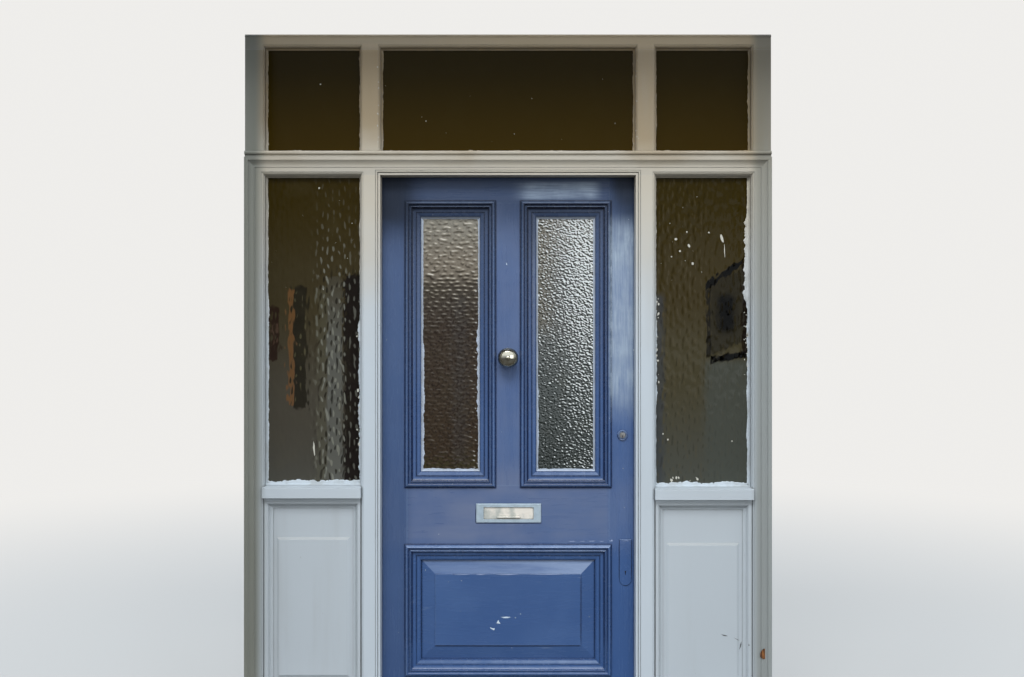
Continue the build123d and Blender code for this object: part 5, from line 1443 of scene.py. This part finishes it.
# %% Chips and scuffs on the leaf
chip_white = plain_finish("chip_white", (0.66, 0.76, 0.84), 0.5)
lilac_scuff_and_highlight = plain_finish("lilac_scuff_and_highlight", (0.34, 0.41, 0.60), 0.5)
leaf_flakes("panel_chips", [
    (-0.0084, 0.461, 0.036, 0.008, -0.03, CRESCENT), (-0.0339, 0.4455, 0.015, 0.013, 0.0, TOOTH),
    (-0.0563, 0.421, 0.018, 0.009, -0.1, WEDGE), (0.0440, 0.474, 0.004, 0.004, 0.3, TOOTH),
], chip_white)
leaf_flakes("moulding_scuffs", [
    (0.226, 0.7312, 0.030, 0.0030, 0.02, CRESCENT), (0.262, 0.7315, 0.022, 0.0025, 0.0, CRESCENT),
    (0.296, 0.7318, 0.030, 0.0035, 0.03, CRESCENT), (0.330, 0.7310, 0.018, 0.0030, 0.0, CRESCENT),
    (0.3635, 0.7325, 0.012, 0.0080, 0.6, WEDGE), (0.4145, 0.7335, 0.030, 0.0022, 0.0, CRESCENT),
], lilac_scuff_and_highlight)
# Pale flakes along the lower arris of the panel's bevel: worn paint and a painted highlight.
leaf_flakes("panel_arris_highlight_and_wear", [
    (-0.165, 0.6125, 0.060, 0.0022, 0.0, CRESCENT), (-0.098, 0.6125, 0.035, 0.0030, 0.0, CRESCENT),
    (-0.005, 0.6125, 0.085, 0.0034, 0.0, CRESCENT), (0.135, 0.6128, 0.120, 0.0026, 0.0, CRESCENT),
], lilac_scuff_and_highlight)

# %% [markdown]
# ## Dirt and painted shadow along edges
#
# Where a plate or a panel's edge meets the leaf, dirt and shadow draw a dark
# line. The corner mask finds the deep ones by itself. These few lie on the open
# side of an edge, where the eye expects a line and the mask has no corner to
# find, so they are drawn as long thin flakes: painted shadow along the raised
# field of the lower panel, dirt and painted shadow round the letter plate.

# %% Dirt and painted shadow along the edges of the leaf
dirt_and_shadow_dark = plain_finish("dirt_and_shadow_dark", (0.006, 0.016, 0.060), 0.5)
leaf_flakes("panel_edge_shadows", [
    (-0.003, 0.3602, 0.512, 0.0050, 0.0, STRIP), (0.2575, 0.487, 0.0022, 0.246, 0.0, STRIP),
], dirt_and_shadow_dark)
leaf_flakes("letter_plate_dirt_and_shadow", [
    (0.002, 0.7955, 0.231, 0.0028, 0.0, STRIP), (-0.1143, 0.822, 0.0024, 0.052, 0.0, STRIP),
], dirt_and_shadow_dark)

# %% [markdown]
# ## Paint, dirt and painted shade round the night latch
#
# The brush went round the night latch too, and left only its middle bare. A
# ring of short overlapping flakes gives that uneven edge, laid round the
# cylinder's centre. The dark marks beside it and in the keyway, dirt and
# painted shade, go on afterwards, and the keyway's own flake rides on the
# plug, which turns with the key.

# %% The night latch
LATCH_X, LATCH_Z = 0.404, 1.107
LATCH_LAP_RADIUS = 0.0133
LATCH_LAPS = 14
QUARTER_TURN = math.pi / 2
lap_blue = plain_finish("lap_blue", (0.105, 0.155, 0.265), 0.4)
lap_turns = [math.tau * index / LATCH_LAPS for index in range(LATCH_LAPS)]
leaf_flakes("latch_paint_lap", [
    (LATCH_X + LATCH_LAP_RADIUS * math.cos(turn), LATCH_Z + LATCH_LAP_RADIUS * math.sin(turn),
     0.0075, 0.0058, turn + QUARTER_TURN, STRIP) for turn in lap_turns
], lap_blue)
leaf_flakes("latch_dirt_and_shadow", [
    (LATCH_X - 0.001, LATCH_Z - 0.0110, 0.015, 0.0036, 0.0, CRESCENT),
    (LATCH_X + 0.0110, LATCH_Z + 0.001, 0.014, 0.0034, 1.45, CRESCENT),
    (LATCH_X, LATCH_Z + 0.0118, 0.008, 0.0044, 0.0, TOOTH),
    (LATCH_X - 0.0160, LATCH_Z - 0.001, 0.008, 0.0030, 1.7, CRESCENT),
], dirt_and_shadow_dark)
flakes("latch_keyway_dirt_and_shadow", [(LATCH_X - 0.0008, LATCH_Z - 0.0050, 0.0045, 0.0075, -0.2, TOOTH)],
       dirt_and_shadow_dark, "cylinder_plug")

# %% The lock plate, and two last flecks
PLATE_ROUNDING = 0.020
plate_low, plate_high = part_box("escutcheon")
plate_side = (plate_low.z + PLATE_ROUNDING + plate_high.z) / 2
plate_length = plate_high.z - plate_low.z - PLATE_ROUNDING
# Dark lines beside and under the lock plate: dirt and painted shadow.
leaf_flakes("lock_plate_dirt_and_shadow", [
    (plate_low.x - 0.0012, plate_side, 0.0020, plate_length, 0.0, STRIP),
    (plate_high.x + 0.0012, plate_side, 0.0026, plate_length, 0.0, STRIP),
    ((plate_low.x + plate_high.x) / 2, plate_low.z - 0.0010, 0.018, 0.0032, 0.0, CRESCENT),
], dirt_and_shadow_dark)
# A painted highlight on the lower rim of the latch ring.
leaf_flakes("latch_ring_glint",
            [(LATCH_X - 0.001, LATCH_Z - 0.0162, 0.022, 0.0030, 0.0, CRESCENT)], lilac_scuff_and_highlight)
leaf_flakes("muntin_fleck", [(-0.005, 1.7125, 0.004, 0.010, 0.1, TOOTH)], chip_white)

# %% [markdown]
# ## Marks on the frame
#
# Low on the right, something scratched the side panel through to its dark
# undercoat, and a patch of the architrave has lost its paint altogether. Bare
# softwood weathers red-brown with an upright grain, which the noise gives
# when it is drawn out along the height.


# %% Marks on the frame
def bare_wood(name):
    """Old softwood, dark with damp at its edges, its grain upright."""
    material, tree, shader = finish(name)
    wood = Coats((0.035, 0.015, 0.008))
    wood.lay((0.36, 0.135, 0.035), between(grain(tree, 220, (1, 1, 0.15), detail=5), 0.40, 0.62))
    feed(shader, {"Base Color": wood.colour, "Roughness": 0.8})
    return material


scratch_dark = plain_finish("scratch_dark", (0.075, 0.075, 0.08), 0.7)
flakes("side_panel_scratches", [
    (0.756, 0.410, 0.024, 0.006, -0.28, CRESCENT), (0.799, 0.397, 0.022, 0.002, -0.55, CRESCENT),
    (0.814, 0.373, 0.030, 0.006, 1.30, CRESCENT), (0.839, 0.382, 0.005, 0.008, 0.2, TOOTH),
], scratch_dark, "frame")
flakes("bare_patch", [(0.892, 0.355, 0.040, 0.046, 0.0, ragged(4))], bare_wood("damp_wood"),
       "frame")

# %% [markdown]
# ## Specks and runs on the glass
#
# A loaded brush spatters. The large specks and the long runs are placed one
# by one. The small ones along the putty and over the panes are strewn by a
# seeded generator, which gives the same specks each time the script is run.

# %% Specks and runs on the glass
PALE_RUN = (0.60, 0.58, 0.50)
speck_white = plain_finish("speck_white", PALE_RUN, 0.5)


def glass_specks(name, marks):
    """Specks of the frame's paint on its panes."""
    return flakes(name, marks, speck_white, "frame")


glass_specks("right_side_light_specks", [
    (0.589, 1.797, 0.010, 0.011, 0.0, ragged(2)), (0.628, 1.822, 0.006, 0.008, 0.0, ragged(3)),
    (0.635, 1.773, 0.009, 0.014, 0.4, ragged(5)), (0.603, 1.755, 0.008, 0.009, 0.0, ragged(6)),
    (0.574, 1.735, 0.006, 0.006, 0.0, ragged(7)), (0.648, 1.711, 0.010, 0.012, 0.3, ragged(8)),
    (0.705, 1.820, 0.007, 0.007, 0.0, ragged(9)), (0.751, 1.799, 0.010, 0.040, 0.30, ragged(10)),
    (0.760, 1.757, 0.0035, 0.056, 0.05, ragged(12)), (0.544, 1.113, 0.006, 0.008, 0.0, ragged(13)),
    (0.561, 1.093, 0.008, 0.007, 0.0, ragged(14)), (0.786, 1.088, 0.005, 0.006, 0.0, ragged(15)),
    *strewn((0.521, 0.530), (1.25, 1.60), 14, 0.010, 100),
    *strewn((0.53, 0.70), (1.65, 1.95), 10, 0.004, 200),
    *strewn((0.828, 0.843), (1.32, 1.54), 18, 0.011, 300),
    *strewn((0.530, 0.680), (0.948, 0.960), 9, 0.008, 400),
])
glass_specks("left_side_light_specks", [
    (-0.681, 1.058, 0.007, 0.075, 0.10, CRESCENT), (-0.663, 1.976, 0.007, 0.008, 0.0, ragged(16)),
    *strewn((-0.835, -0.53), (1.60, 1.95), 10, 0.003, 500),
    *strewn((-0.530, -0.521), (1.0, 1.6), 10, 0.010, 600),
])
glass_specks("overlight_specks", [
    (-0.658, 2.340, 0.006, 0.006, 0.0, ragged(17)), (-0.288, 2.211, 0.005, 0.005, 0.0, ragged(18)),
    *strewn((-0.455, -0.447), (2.13, 2.43), 9, 0.007, 700),
    *strewn((0.440, 0.455), (2.13, 2.43), 9, 0.008, 800),
    *strewn((-0.43, 0.43), (2.13, 2.45), 10, 0.003, 900),
])

# %% [markdown]
# ## The CAD box
#
# The last cell prints the box of the door as imported from CAD.

# %% Print the CAD box
print("CAD box", cad_bounds)
